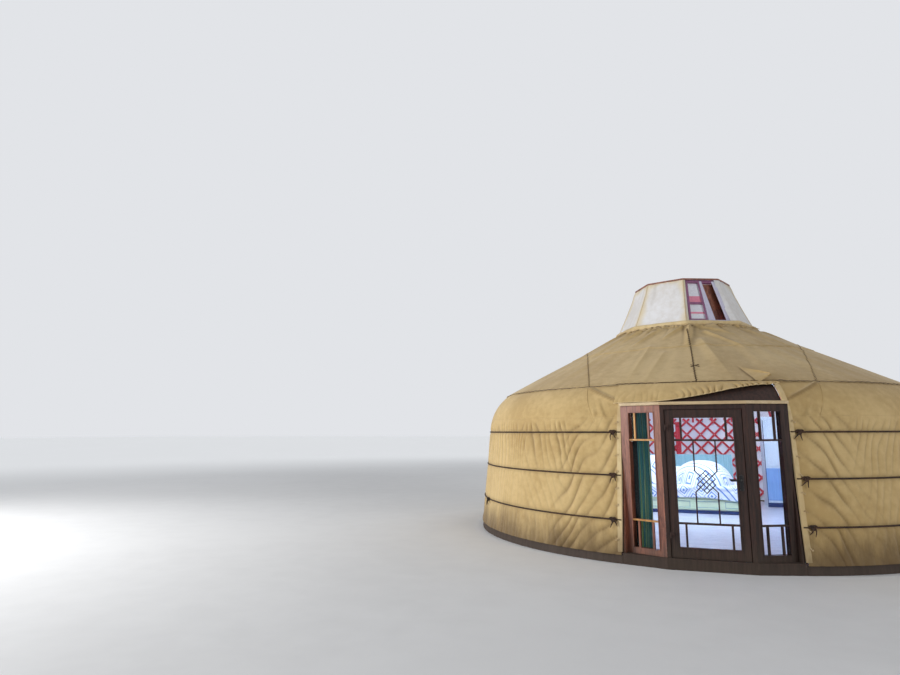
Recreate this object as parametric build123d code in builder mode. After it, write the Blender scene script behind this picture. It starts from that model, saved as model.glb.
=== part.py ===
from build123d import *
import os
from math import asin, atan, cos, degrees, radians, sin, sqrt, tan

os.makedirs("parts", exist_ok=True)

# A round felt tent with a framed glass door bay: lattice wall, bent roof poles, crown ring, lantern.
# Millimetres. The origin is on the tent's axis at the ground, +Z is up and the door faces -Y.
# An azimuth is counted from the door (-Y) towards +X, in degrees.

# Outer cloth surface: a leaning wall, a rounded shoulder and a straight roof slope
wall_foot_radius = 3375.0
wall_lean = 5.71
shoulder_radius = 700.0
shoulder_drop = 297.7
wall_rise = 172.7
roof_pitch = 27.42
crown_radius = 1000.0
cover_thickness = 25.0

# A resting piece lies this far from its seat, and a cut runs past what it cuts by this share
seat_gap = 0.3
overcut = 1.2

# Ground works
ring_height = 100.0
ring_width = 115.0
ring_setback = 10.0
floor_top = 120.0
sill_step = 22.0

# Segments of the round wall, which start just past the door bay
wall_segments = 6
bay_margin = 0.12
sill_edge_gap = 0.02
bay_edge_gap = 0.05

# Lattice wall
lattice_columns = 8
lattice_rows = 4.5
lattice_thickness = 30.0
lattice_depth = 40.0
slat_width = 44.0
stile_width = 58.0
section_margin = 0.15

# Roof poles and crown
pole_width = 35.0
pole_depth = 35.0
door_pole_count = 4
crown_ring_width = 100.0
crown_ring_height = 131.0
crown_ring_chamfer = 14.0
crown_bar_width = 38.0
crown_bar_depth = 34.0
crown_bar_spacing = 150.0
crown_bar_rise = 330.0

# Lantern over the crown
lantern_setback = 48.4
lantern_height = 764.0
lantern_taper = 20.55
lantern_wall = 42.0
lantern_skin = 8.0
lantern_post = 46.0
lantern_sill = 92.0
lantern_head = 52.0
lantern_mullion = 42.0
lantern_rail = 34.0
lantern_rail_share = 0.42
lid_rim_height = 24.0
lid_overhang = 14.0
lid_rise = 34.0
lid_lean = 60.0
trim_width = 58.0
trim_drop = 62.0
trim_rise = 43.0

# Door bay: a centre panel and two side panels turned back
bay_setback = 26.0
bay_half_width = 447.0
side_angle = 26.2
side_length = 494.0
bay_depth = 70.0
jamb_width = 42.0
head_height = 53.0
bay_top = 1785.0
stop_width = 20.0
stop_depth = 17.0
lid_thickness = 35.0
lid_overhang_front = 25.0
lid_pole_margin = 35.0
cheek_thickness = 20.0
cheek_clearance = 4.0

# Hem of the roof cloth over the door, and the head panel behind it
hem_clearance = 1.0
hem_slope = 0.127
head_thickness = 24.0
head_panel_clear = 2.0

# Side lights
side_glass_start = 83.0
side_glass_width = 308.0
side_bottom_rail = 67.0
side_top_rail = 83.0
muntin_shares = (0.22, 0.77)
muntin_width = 22.0
muntin_depth = 18.0
glass_thickness = 6.0
glass_setback = 26.0

# Door leaf
door_gap = 8.0
leaf_bottom_gap = 5.0
leaf_head_gap = 5.0
leaf_thickness = 40.0
leaf_recess = 8.0
stile = 92.0
bottom_rail = 110.0
top_rail = 90.0
low_light_height = 256.0
high_light_height = 246.0
light_side = 232.0
light_middle = 113.0

# Endless knot in the middle light
knot_cell = 31.0
knot_strip = 9.5
knot_stem_width = 15.0
knot_arm_width = 12.0

# Hinges and handle
pin_radius = 4.0
bore_radius = 4.05
knuckle_radius = 8.0
knuckle_height = 32.0
pin_height = 29.0
hinge_stand = 13.5
hinge_offset = 2.5
hinge_low_inset = 205.0
hinge_high_inset = 227.0
hinge_leaf_margin = 8.0
handle_height = 962.0
handle_inset = 46.0
plate_width = 38.0
plate_height = 170.0
plate_drop = 25.0
plate_thickness = 6.0
plate_corner = 12.0
lever_length = 118.0
lever_radius = 9.0
lever_depth = 14.4
lever_corner = 7.2
lever_reach = 46.0

# Ropes round the wall, evenly spaced from the lowest to the one below the shoulder
rope_radius = 9.0
rope_count = 3
rope_low = 480.0
rope_drop = 7.3
rope_end_margin = 0.4

# Things inside
bed_front = 600.0
bed_half_width = 900.0
bed_depth = 1300.0
bed_height = 400.0
bed_corner = 8.0
headboard_half_width = 775.0
headboard_top = 1050.0
headboard_thickness = 30.0
groove_width = 14.0
groove_depth = 6.0
groove_count = 4
groove_pitch = 38.0
mattress_height = 160.0
mattress_inset = 30.0
mattress_corner = 60.0
mattress_round = 40.0
# heaps of the quilt: place across and from the bed's front, reach, and rise over the platform
quilt_heaps = ((-520.0, 520.0, 320.0, 640.0), (150.0, 440.0, 410.0, 580.0), (-180.0, 820.0, 380.0, 440.0))
cabinet_width = 520.0
cabinet_depth = 420.0
cabinet_height = 1620.0
cabinet_azimuth = 141.9
cabinet_clearance = 125.0
curtain_thickness = 18.0
curtain_width = 170.0
curtain_inset = 150.0

# Derived values of the outer surface; the shoulder's height follows the door's
lean_slope = tan(radians(wall_lean))
lean_cosine = cos(radians(wall_lean))
pitch_slope = tan(radians(roof_pitch))
pitch_cosine = cos(radians(roof_pitch))
roof_angle = 90 - roof_pitch
shoulder_height = bay_top - shoulder_drop
wall_top = shoulder_height + wall_rise
shoulder_r = wall_foot_radius - shoulder_height * lean_slope - shoulder_radius / lean_cosine
crown_top = shoulder_height + (shoulder_r - crown_radius) * pitch_slope + shoulder_radius / pitch_cosine
pole_outer = cover_thickness + seat_gap
door_pole_outer = pole_outer + head_thickness + seat_gap

# Heights of the door bay
lid_top = bay_top + lid_thickness
opening_top = bay_top - head_height
leaf_bottom = floor_top + leaf_bottom_gap
leaf_top = opening_top - leaf_head_gap
leaf_glass_bottom = leaf_bottom + bottom_rail
leaf_glass_top = leaf_top - top_rail
side_glass_bottom = floor_top + side_bottom_rail
side_glass_top = bay_top - side_top_rail
rail_low = leaf_glass_bottom + low_light_height
rail_high = leaf_glass_top - high_light_height
hinge_heights = (leaf_bottom + hinge_low_inset, leaf_top - hinge_high_inset)


def wall_r(z, depth):
    """Radius of the leaning wall at a height, at a depth below the outer surface."""
    return wall_foot_radius - z * lean_slope - depth / lean_cosine


def roof_z(r, depth):
    """Height of the straight roof slope at a radius, at a depth below the outer surface."""
    return crown_top + (crown_radius - r) * pitch_slope - depth / pitch_cosine


def shoulder_point(depth, angle):
    """Point of the rounded shoulder at an angle above the horizontal."""
    reach = shoulder_radius - depth
    return (shoulder_r + reach * cos(radians(angle)), shoulder_height + reach * sin(radians(angle)))


def shoulder_angle(z, depth):
    """Angle at which the shoulder, at that depth, passes a height."""
    return degrees(asin((z - shoulder_height) / (shoulder_radius - depth)))


def shoulder_arc(depth, first, last):
    """Arc of the shoulder between two angles."""
    middle = (first + last) / 2
    return ThreePointArc(
        shoulder_point(depth, first), shoulder_point(depth, middle), shoulder_point(depth, last)
    )


def radial_plane(azimuth):
    """Upright plane through the axis: x runs outward at the azimuth and y runs up."""
    angle = radians(azimuth)
    return Plane(origin=(0, 0, 0), x_dir=(sin(angle), -cos(angle), 0), z_dir=(-cos(angle), -sin(angle), 0))


def facet_plane(azimuth, distance, z, tilt):
    """Plane of a flat facet that leans inward: x runs along it, y runs up its slope."""
    angle = radians(azimuth)
    lean = radians(tilt)
    return Plane(
        origin=(distance * sin(angle), -distance * cos(angle), z),
        x_dir=(cos(angle), sin(angle), 0),
        z_dir=(cos(lean) * sin(angle), -cos(lean) * cos(angle), sin(lean)),
    )


def plan_point(radius, azimuth):
    """Point of the plan at a radius and an azimuth."""
    angle = radians(azimuth)
    return (radius * sin(angle), -radius * cos(angle))


# plan of the door bay, right-hand half
turn = radians(side_angle)
bay_front = wall_foot_radius - bay_setback
along = (cos(turn), sin(turn))
inward = (-sin(turn), cos(turn))
joint_point = (bay_half_width, -bay_front)
end_point = (joint_point[0] + side_length * along[0], joint_point[1] + side_length * along[1])
end_inner = (end_point[0] + bay_depth * inward[0], end_point[1] + bay_depth * inward[1])
joint_x = bay_half_width + seat_gap
joint_slide = (joint_x - joint_point[0] - bay_depth * inward[0]) / along[0]
joint_inner = (joint_x, joint_point[1] + bay_depth * inward[1] + joint_slide * along[1])
joint_outer = (joint_x, joint_point[1] + seat_gap * along[1] / along[0])
end_azimuth = degrees(atan(end_point[0] / -end_point[1]))
end_inner_radius = sqrt(end_inner[0] ** 2 + end_inner[1] ** 2)
side_plane = Plane(
    origin=(joint_point[0], joint_point[1], 0), x_dir=(along[0], along[1], 0), z_dir=(along[1], -along[0], 0)
)
front_plane = Plane(origin=(0, -bay_front, 0), x_dir=(1, 0, 0), z_dir=(0, -1, 0))
bay_half_angle = end_azimuth + bay_margin
segment_angle = (360 - 2 * bay_half_angle) / wall_segments
deck_radius = wall_r(ring_height, ring_setback) - ring_width
sill_inner = deck_radius + seat_gap

# base ring under the wall, open at the door bay
with BuildPart() as base_ring:
    with BuildSketch(radial_plane(bay_half_angle)):
        with BuildLine():
            Polyline(
                (sill_inner, 0),
                (wall_r(0, ring_setback), 0),
                (wall_r(ring_height, ring_setback), ring_height),
                (sill_inner, ring_height),
                close=True,
            )
        make_face()
    revolve(axis=Axis.Z, revolution_arc=360 - 2 * bay_half_angle)
base_ring.part.label = "base_ring"
export_step(base_ring.part, "parts/base_ring.step")

# floor deck
with BuildPart() as floor_deck:
    with BuildSketch(Plane.XY):
        Circle(deck_radius)
    extrude(amount=floor_top)
floor_deck.part.label = "floor_deck"
export_step(floor_deck.part, "parts/floor_deck.step")

# sill block under the door bay, stepping out in front of it
sill_edge = bay_half_angle - sill_edge_gap
sill_nose = bay_half_width + sill_step * tan(turn / 2)
sill_corner = plan_point(wall_r(0, ring_setback), sill_edge)
with BuildPart() as door_sill:
    with BuildSketch(Plane.XY):
        with BuildLine():
            Polyline(
                (0, 0),
                sill_corner,
                (sill_nose, -bay_front - sill_step),
                (-sill_nose, -bay_front - sill_step),
                (-sill_corner[0], sill_corner[1]),
                close=True,
            )
        make_face()
        Circle(sill_inner, mode=Mode.SUBTRACT)
    extrude(amount=floor_top)
door_sill.part.label = "door_sill"
export_step(door_sill.part, "parts/door_sill.step")

# lattice wall: one flat facet, a section of facets, then the sections
lattice_pitch = (segment_angle - 2 * section_margin) / lattice_columns
half_pitch = radians(lattice_pitch / 2)
facet_tilt = degrees(atan(lean_slope * cos(half_pitch)))
facet_slope = cos(radians(facet_tilt))
slope_length = (wall_top - ring_height) / facet_slope
row_height = slope_length / lattice_rows
facet_base = wall_r(ring_height, lattice_depth)
spare = lattice_thickness * tan(radians(facet_tilt)) * 2


def facet_half(s):
    """Half the width of a lattice facet at a distance up its slope."""
    return wall_r(ring_height + s * facet_slope, lattice_depth) * sin(half_pitch)


mean_half = facet_half(slope_length / 2)
mean_side = sqrt(mean_half**2 + (row_height / 2) ** 2)
opening = 1 - (slat_width / 2) * mean_side / (mean_half * row_height / 2)
reach = opening * row_height / 2
full_rows = [slope_length - (row + 0.5) * row_height for row in range(round(lattice_rows + 0.5))]
side_rows = [slope_length - row * row_height for row in range(round(lattice_rows + 0.5))]
lattice_plane = facet_plane(0, facet_base * cos(half_pitch), ring_height, facet_tilt)

with BuildPart() as facet:
    with BuildSketch(lattice_plane):
        Polygon(
            (-facet_half(-spare), -spare),
            (facet_half(-spare), -spare),
            (facet_half(slope_length + spare), slope_length + spare),
            (-facet_half(slope_length + spare), slope_length + spare),
            align=None,
        )
        for s in full_rows:
            half = opening * facet_half(s)
            Polygon(
                (0, s - reach), (half, s), (0, s + reach), (-half, s), align=None, mode=Mode.SUBTRACT
            )
        for s in side_rows:
            for side in (-1, 1):
                Polygon(
                    (side * facet_half(s - reach), s - reach),
                    (side * (1 - opening) * facet_half(s), s),
                    (side * facet_half(s + reach), s + reach),
                    (side * facet_half(s) * overcut, s),
                    align=None,
                    mode=Mode.SUBTRACT,
                )
    extrude(amount=-lattice_thickness)

with BuildPart() as stile_post:
    with BuildSketch(lattice_plane):
        Polygon(
            (facet_half(-spare) - stile_width, -spare),
            (facet_half(-spare), -spare),
            (facet_half(slope_length + spare), slope_length + spare),
            (facet_half(slope_length + spare) - stile_width, slope_length + spare),
            align=None,
        )
    extrude(amount=-lattice_thickness)

with BuildPart() as first_post:
    mirror(stile_post.part, about=Plane.YZ)

with BuildPart() as section:
    for column in range(lattice_columns):
        add(facet.part.rotate(Axis.Z, (column + 0.5) * lattice_pitch))
    add(stile_post.part.rotate(Axis.Z, (lattice_columns - 0.5) * lattice_pitch))
    add(first_post.part.rotate(Axis.Z, 0.5 * lattice_pitch))
    split(bisect_by=Plane.XY.offset(ring_height), keep=Keep.TOP)
    split(bisect_by=Plane.XY.offset(wall_top), keep=Keep.BOTTOM)

for index in range(wall_segments):
    start = bay_half_angle + index * segment_angle
    with BuildPart() as lattice:
        add(section.part.rotate(Axis.Z, start + section_margin))
    lattice.part.label = f"lattice_{index + 1}"
    export_step(lattice.part, f"parts/lattice_{index + 1}.step")

# roof poles: upright at the foot, bent over the shoulder, straight to the crown ring
pole_end = crown_radius + seat_gap


def pole_profile(foot_z, outer):
    """Side outline of a pole, from its depth below the cloth, whose foot is cut level at a height."""
    inner = outer + pole_depth
    outer_angle = shoulder_angle(foot_z, outer)
    inner_angle = shoulder_angle(foot_z, inner)
    shoulder_arc(outer, outer_angle, roof_angle)
    Line(shoulder_point(outer, roof_angle), (pole_end, roof_z(pole_end, outer)))
    Line((pole_end, roof_z(pole_end, outer)), (pole_end, roof_z(pole_end, inner)))
    Line((pole_end, roof_z(pole_end, inner)), shoulder_point(inner, roof_angle))
    shoulder_arc(inner, roof_angle, inner_angle)
    Line(shoulder_point(inner, inner_angle), shoulder_point(outer, outer_angle))


with BuildPart() as pole:
    with BuildSketch(radial_plane(0)):
        with BuildLine():
            pole_profile(wall_top, pole_outer)
        make_face()
    extrude(amount=pole_width / 2, both=True)

with BuildPart() as door_pole:
    with BuildSketch(radial_plane(0)):
        with BuildLine():
            pole_profile(lid_top, door_pole_outer)
        make_face()
    extrude(amount=pole_width / 2, both=True)

for side, first in (("right", 0), ("left", wall_segments // 2)):
    with BuildPart() as roof_poles:
        for index in range(first, first + wall_segments // 2):
            start = bay_half_angle + index * segment_angle + section_margin
            for column in range(lattice_columns):
                add(pole.part.rotate(Axis.Z, start + (column + 0.5) * lattice_pitch))
    roof_poles.part.label = f"roof_poles_{side}"
    export_step(roof_poles.part, f"parts/roof_poles_{side}.step")

with BuildPart() as roof_poles_door:
    for index in range(door_pole_count):
        share = (2 * index + 1) / door_pole_count - 1
        add(door_pole.part.rotate(Axis.Z, share * bay_half_angle))
roof_poles_door.part.label = "roof_poles_door"
export_step(roof_poles_door.part, "parts/roof_poles_door.step")

# crown ring with its domed bars
crown_inner = crown_radius - crown_ring_width
with BuildPart() as crown_ring:
    with BuildSketch(radial_plane(0)):
        with Locations((crown_inner, crown_top)):
            Rectangle(crown_ring_width, crown_ring_height, align=(Align.MIN, Align.MAX))
    revolve(axis=Axis.Z)
    chamfer(crown_ring.edges().group_by(Axis.Z)[0], length=crown_ring_chamfer)
crown_ring.part.label = "crown_ring"
export_step(crown_ring.part, "parts/crown_ring.step")

bar_reach = crown_inner - seat_gap
dome_radius = (bar_reach**2 + crown_bar_rise**2) / (2 * crown_bar_rise)
dome_foot = crown_top - crown_ring_height / 2
dome_centre = dome_foot + crown_bar_rise - dome_radius
blank_margin = 2 * crown_bar_depth
with BuildPart() as crown_bars:
    with BuildSketch(Plane.XY.offset(dome_foot - blank_margin)):
        for offset_step in (-1, 0, 1):
            with Locations((0, offset_step * crown_bar_spacing)):
                Rectangle(bar_reach * 2, crown_bar_width)
            with Locations((offset_step * crown_bar_spacing, 0)):
                Rectangle(crown_bar_width, bar_reach * 2)
        Circle(bar_reach, mode=Mode.INTERSECT)
    extrude(amount=crown_bar_rise + 2 * blank_margin)
    with Locations((0, 0, dome_centre)):
        Sphere(dome_radius, mode=Mode.INTERSECT)
        Sphere(dome_radius - crown_bar_depth, mode=Mode.SUBTRACT)
crown_bars.part.label = "crown_bars"
export_step(crown_bars.part, "parts/crown_bars.step")

# lantern: an eight-sided tapering frame on the crown ring
frame_turn = 22.5
eighth = radians(frame_turn)
taper_slope = tan(radians(lantern_taper))
taper_cosine = cos(radians(lantern_taper))
lantern_apothem = crown_radius - lantern_setback
lantern_top = crown_top + lantern_height
lantern_slope_length = lantern_height / taper_cosine


def lantern_radius(gain, height):
    """Corner radius of the eight-sided lantern at a height, at a gain outside its frame."""
    return (lantern_apothem + gain / taper_cosine - height * taper_slope) / cos(eighth)


def lantern_half(s):
    """Half the width of a lantern side at a distance up its slope."""
    return (lantern_apothem - s * sin(radians(lantern_taper))) * tan(eighth)


def light_corners(low, high, left, right):
    """Corners of an opening in a lantern side, between insets from its left and right edges."""
    points = []
    for s, order in ((low, (0, 1)), (high, (1, 0))):
        ends = (
            left - lantern_half(s) if left >= 0 else -left,
            lantern_half(s) - right if right >= 0 else right,
        )
        for index in order:
            points.append((ends[index], s))
    return points


mullion_half = lantern_mullion / 2
light_low = lantern_sill
light_high = lantern_slope_length - lantern_head
left_light = light_corners(light_low, light_high, lantern_post, -mullion_half)
right_light = light_corners(light_low, light_high, -mullion_half, lantern_post)

with BuildPart() as lantern_frame:
    with BuildSketch(Plane.XY.offset(crown_top)):
        RegularPolygon(lantern_radius(0, 0), 8, rotation=0)
    extrude(amount=lantern_height, taper=lantern_taper)
    with BuildSketch(Plane.XY.offset(crown_top)):
        RegularPolygon(lantern_radius(-lantern_wall, 0), 8, rotation=0)
    extrude(amount=lantern_height, taper=lantern_taper, mode=Mode.SUBTRACT)
    for index in range(8):
        side = facet_plane(frame_turn + 45 * index, lantern_apothem, crown_top, lantern_taper)
        with BuildSketch(side):
            Polygon(*left_light, align=None)
            Polygon(*right_light, align=None)
        extrude(amount=lantern_wall, both=True, mode=Mode.SUBTRACT)
    # a cross rail in the glazed light
    side = facet_plane(frame_turn, lantern_apothem, crown_top, lantern_taper)
    rail_s = light_low + lantern_rail_share * (light_high - light_low)
    with BuildSketch(side):
        Polygon(
            *light_corners(rail_s, rail_s + lantern_rail, lantern_post, -mullion_half), align=None
        )
    extrude(amount=-lantern_wall / 2)
lantern_frame.part.label = "lantern_frame"
export_step(lantern_frame.part, "parts/lantern_frame.step")

# cloth skin over the lantern, open at the glazed light and at the vent beside it
with BuildPart() as lantern_canvas:
    with BuildSketch(Plane.XY.offset(crown_top)):
        RegularPolygon(lantern_radius(seat_gap + lantern_skin, 0), 8, rotation=0)
    extrude(amount=lantern_height, taper=lantern_taper)
    with BuildSketch(Plane.XY.offset(crown_top)):
        RegularPolygon(lantern_radius(seat_gap, 0), 8, rotation=0)
    extrude(amount=lantern_height, taper=lantern_taper, mode=Mode.SUBTRACT)
    side = facet_plane(frame_turn, lantern_apothem, crown_top, lantern_taper)
    with BuildSketch(side):
        Polygon(*left_light, align=None)
        Polygon(*right_light, align=None)
    extrude(amount=lantern_wall, both=True, mode=Mode.SUBTRACT)
lantern_canvas.part.label = "lantern_canvas"
export_step(lantern_canvas.part, "parts/lantern_canvas.step")

# panes of the glazed light, below and above the cross rail
with BuildPart() as lantern_glass:
    with BuildSketch(side.offset(-lantern_wall / 2 - seat_gap)):
        Polygon(
            *light_corners(light_low + seat_gap, light_high - seat_gap, lantern_post + seat_gap,
                           -mullion_half - seat_gap),
            align=None,
        )
    extrude(amount=-glass_thickness)
lantern_glass.part.label = "lantern_glass"
export_step(lantern_glass.part, "parts/lantern_glass.step")

# shallow lid with a wooden rim
lid_radius = lantern_radius(seat_gap + lantern_skin, lantern_height) + lid_overhang
with BuildPart() as lantern_lid:
    with BuildSketch(Plane.XY.offset(lantern_top)):
        RegularPolygon(lid_radius, 8, rotation=0)
    extrude(amount=lid_rim_height)
    with BuildSketch(Plane.XY.offset(lantern_top + lid_rim_height)):
        RegularPolygon(lid_radius - lid_overhang, 8, rotation=0)
    extrude(amount=lid_rise, taper=lid_lean)
lantern_lid.part.label = "lantern_lid"
export_step(lantern_lid.part, "parts/lantern_lid.step")

# cloth roll round the foot of the lantern, seated on the roof slope
trim_inner = lantern_radius(2 * seat_gap + lantern_skin, 0)
trim_outer = trim_inner + trim_width
with BuildPart() as lantern_trim:
    with BuildSketch(Plane.XY.offset(crown_top - trim_drop)):
        RegularPolygon(trim_outer, 8, rotation=0)
    extrude(amount=trim_drop + trim_rise)
    with BuildSketch(Plane.XY.offset(crown_top - trim_drop)):
        RegularPolygon(trim_inner, 8, rotation=0)
    extrude(amount=trim_drop + trim_rise, mode=Mode.SUBTRACT)
    with BuildSketch(radial_plane(0)):
        with BuildLine():
            Polyline(
                (0, 0),
                (overcut * trim_outer, 0),
                (overcut * trim_outer, roof_z(overcut * trim_outer, -seat_gap)),
                (crown_radius + seat_gap, roof_z(crown_radius + seat_gap, -seat_gap)),
                (0, crown_top + seat_gap),
                close=True,
            )
        make_face()
    revolve(axis=Axis.Z, mode=Mode.SUBTRACT)
lantern_trim.part.label = "lantern_trim"
export_step(lantern_trim.part, "parts/lantern_trim.step")

# cloth and felt cover of the wall, one segment at a time
cover_outer_angle = shoulder_angle(wall_top, 0)
cover_inner_angle = shoulder_angle(wall_top, cover_thickness)
foot_outer = (wall_r(ring_height, 0), ring_height)
foot_inner = (wall_r(ring_height, cover_thickness), ring_height)
for index in range(wall_segments):
    with BuildPart() as wall_cover:
        with BuildSketch(radial_plane(bay_half_angle + index * segment_angle)):
            with BuildLine():
                Line(foot_inner, foot_outer)
                Line(foot_outer, shoulder_point(0, wall_lean))
                shoulder_arc(0, wall_lean, cover_outer_angle)
                Line(
                    shoulder_point(0, cover_outer_angle),
                    shoulder_point(cover_thickness, cover_inner_angle),
                )
                shoulder_arc(cover_thickness, cover_inner_angle, wall_lean)
                Line(shoulder_point(cover_thickness, wall_lean), foot_inner)
            make_face()
        revolve(axis=Axis.Z, revolution_arc=segment_angle)
    wall_cover.part.label = f"wall_cover_{index + 1}"
    export_step(wall_cover.part, f"parts/wall_cover_{index + 1}.step")


def roof_profile(foot_z):
    """Section of the roof cover from a level foot on the shoulder to the crown ring."""
    outer_angle = shoulder_angle(foot_z, 0)
    inner_angle = shoulder_angle(foot_z, cover_thickness)
    end = crown_radius + seat_gap
    Line(shoulder_point(cover_thickness, inner_angle), shoulder_point(0, outer_angle))
    shoulder_arc(0, outer_angle, roof_angle)
    Line(shoulder_point(0, roof_angle), (end, roof_z(end, 0)))
    Line((end, roof_z(end, 0)), (end, roof_z(end, cover_thickness)))
    Line((end, roof_z(end, cover_thickness)), shoulder_point(cover_thickness, roof_angle))
    shoulder_arc(cover_thickness, roof_angle, inner_angle)


# roof cover: a front piece over the door and three broad pieces behind
for name, first, sweep_angle in (
    ("right", bay_half_angle, 2 * segment_angle),
    ("back", bay_half_angle + 2 * segment_angle, 2 * segment_angle),
    ("left", bay_half_angle + 4 * segment_angle, 2 * segment_angle),
):
    with BuildPart() as roof_cover:
        with BuildSketch(radial_plane(first)):
            with BuildLine():
                roof_profile(wall_top)
            make_face()
        revolve(axis=Axis.Z, revolution_arc=sweep_angle)
    roof_cover.part.label = f"roof_cover_{name}"
    export_step(roof_cover.part, f"parts/roof_cover_{name}.step")

# the hem over the door rises from left to right, from just above the bay's lid
hem_half_width = shoulder_point(0, shoulder_angle(lid_top, 0))[0] * sin(radians(bay_half_angle))
hem_height = lid_top + hem_clearance + hem_half_width * hem_slope
with BuildPart() as roof_cover_front:
    with BuildSketch(radial_plane(-bay_half_angle)):
        with BuildLine():
            roof_profile(bay_top)
        make_face()
    revolve(axis=Axis.Z, revolution_arc=2 * bay_half_angle)
    with BuildSketch(Plane.XZ):
        with BuildLine():
            Polyline(
                (-bay_front, hem_height - bay_front * hem_slope),
                (bay_front, hem_height + bay_front * hem_slope),
                (bay_front, 0),
                (-bay_front, 0),
                close=True,
            )
        make_face()
    extrude(amount=overcut * bay_front, mode=Mode.SUBTRACT)
roof_cover_front.part.label = "roof_cover_front"
export_step(roof_cover_front.part, "parts/roof_cover_front.step")

# head panel behind the hem, standing on the bay lid
bay_edge = bay_half_angle - bay_edge_gap
head_depth = cover_thickness + seat_gap
head_high = roof_angle - head_panel_clear
with BuildPart() as door_head_panel:
    with BuildSketch(radial_plane(-bay_edge)):
        outer_low = shoulder_angle(lid_top, head_depth)
        inner_low = shoulder_angle(lid_top, head_depth + head_thickness)
        with BuildLine():
            shoulder_arc(head_depth, outer_low, head_high)
            Line(
                shoulder_point(head_depth, head_high),
                shoulder_point(head_depth + head_thickness, head_high),
            )
            shoulder_arc(head_depth + head_thickness, head_high, inner_low)
            Line(
                shoulder_point(head_depth + head_thickness, inner_low),
                shoulder_point(head_depth, outer_low),
            )
        make_face()
    revolve(axis=Axis.Z, revolution_arc=2 * bay_edge)
door_head_panel.part.label = "door_head_panel"
export_step(door_head_panel.part, "parts/door_head_panel.step")

# flat lid over the three panels of the bay, reaching in past the feet of the door's poles
pole_foot_depth = door_pole_outer + pole_depth
pole_foot_radius = shoulder_point(pole_foot_depth, shoulder_angle(lid_top, pole_foot_depth))[0]
lid_inner_radius = pole_foot_radius - lid_pole_margin
lid_nose = bay_half_width + lid_overhang_front * tan(turn / 2)
lid_end = (
    end_point[0] - lid_overhang_front * inward[0],
    end_point[1] - lid_overhang_front * inward[1],
)
lid_end_radius = sqrt(lid_end[0] ** 2 + lid_end[1] ** 2)
with BuildPart() as bay_lid:
    with BuildSketch(Plane.XY.offset(bay_top)):
        with BuildLine():
            Polyline(
                (0, 0),
                plan_point(lid_end_radius, bay_edge),
                (lid_nose, -bay_front - lid_overhang_front),
                (-lid_nose, -bay_front - lid_overhang_front),
                plan_point(lid_end_radius, -bay_edge),
                close=True,
            )
        make_face()
        Circle(lid_inner_radius, mode=Mode.SUBTRACT)
    extrude(amount=lid_thickness)
bay_lid.part.label = "bay_lid"
export_step(bay_lid.part, "parts/bay_lid.step")

# door frame: two jambs, a head, stop strips behind the leaf and the lower hinge halves
opening_half = bay_half_width - jamb_width
leaf_half = opening_half - door_gap
stop_half = opening_half - stop_width
hinge_x = -leaf_half - hinge_offset
hinge_y = -bay_front - hinge_stand

with BuildPart() as door_frame:
    with BuildSketch(front_plane):
        Polygon(
            (-bay_half_width, floor_top),
            (-opening_half, floor_top),
            (-opening_half, opening_top),
            (opening_half, opening_top),
            (opening_half, floor_top),
            (bay_half_width, floor_top),
            (bay_half_width, bay_top),
            (-bay_half_width, bay_top),
            align=None,
        )
    extrude(amount=-bay_depth)
    with BuildSketch(front_plane.offset(-bay_depth)):
        Polygon(
            (-opening_half, floor_top),
            (-stop_half, floor_top),
            (-stop_half, opening_top - stop_width),
            (stop_half, opening_top - stop_width),
            (stop_half, floor_top),
            (opening_half, floor_top),
            (opening_half, opening_top),
            (-opening_half, opening_top),
            align=None,
        )
    extrude(amount=stop_depth)
    for z in hinge_heights:
        with BuildSketch(Plane.XY.offset(z)):
            with Locations((hinge_x, hinge_y)):
                Circle(knuckle_radius)
            Polygon(
                (-bay_half_width + hinge_leaf_margin, -bay_front),
                (-bay_half_width + hinge_leaf_margin, -bay_front - knuckle_radius),
                (hinge_x, -bay_front - knuckle_radius),
                (hinge_x, -bay_front),
                align=None,
            )
        extrude(amount=knuckle_height)
        with BuildSketch(Plane.XY.offset(z + knuckle_height)):
            with Locations((hinge_x, hinge_y)):
                Circle(pin_radius)
        extrude(amount=pin_height)
door_frame.part.label = "door_frame"
export_step(door_frame.part, "parts/door_frame.step")

# side light frames: stiles, rails and muntins, with a tapered cheek that meets the wall
glass_end = side_glass_start + side_glass_width
muntin_levels = ((side_glass_bottom, rail_low), (rail_high, side_glass_top))
muntin_back = glass_setback - seat_gap
with BuildPart() as side_light:
    with BuildSketch(Plane.XY.offset(floor_top)):
        Polygon(joint_outer, end_point, end_inner, joint_inner, align=None)
    extrude(amount=bay_top - floor_top)
    with BuildSketch(side_plane):
        with Locations((side_glass_start, side_glass_bottom)):
            Rectangle(
                side_glass_width, side_glass_top - side_glass_bottom, align=(Align.MIN, Align.MIN)
            )
    extrude(amount=overcut * bay_depth, both=True, mode=Mode.SUBTRACT)
    with BuildSketch(side_plane.offset(-muntin_back)):
        for z in (rail_low, rail_high):
            with Locations(((side_glass_start + glass_end) / 2, z)):
                Rectangle(side_glass_width + muntin_width, muntin_width)
        for low, high in muntin_levels:
            for share in muntin_shares:
                with Locations((side_glass_start + share * side_glass_width, (low + high) / 2)):
                    Rectangle(muntin_width, high - low + muntin_width)
    extrude(amount=muntin_depth)

cheek_inner = end_inner_radius + cheek_clearance
cheek_depth = cover_thickness + seat_gap
cheek_top = (wall_r(0, cheek_depth) - cheek_inner) / lean_slope
with BuildPart() as cheek:
    with BuildSketch(radial_plane(end_azimuth)):
        Polygon(
            (cheek_inner, floor_top),
            (wall_r(floor_top, cheek_depth), floor_top),
            (wall_r(cheek_top, cheek_depth), cheek_top),
            align=None,
        )
    extrude(amount=cheek_thickness)

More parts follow.
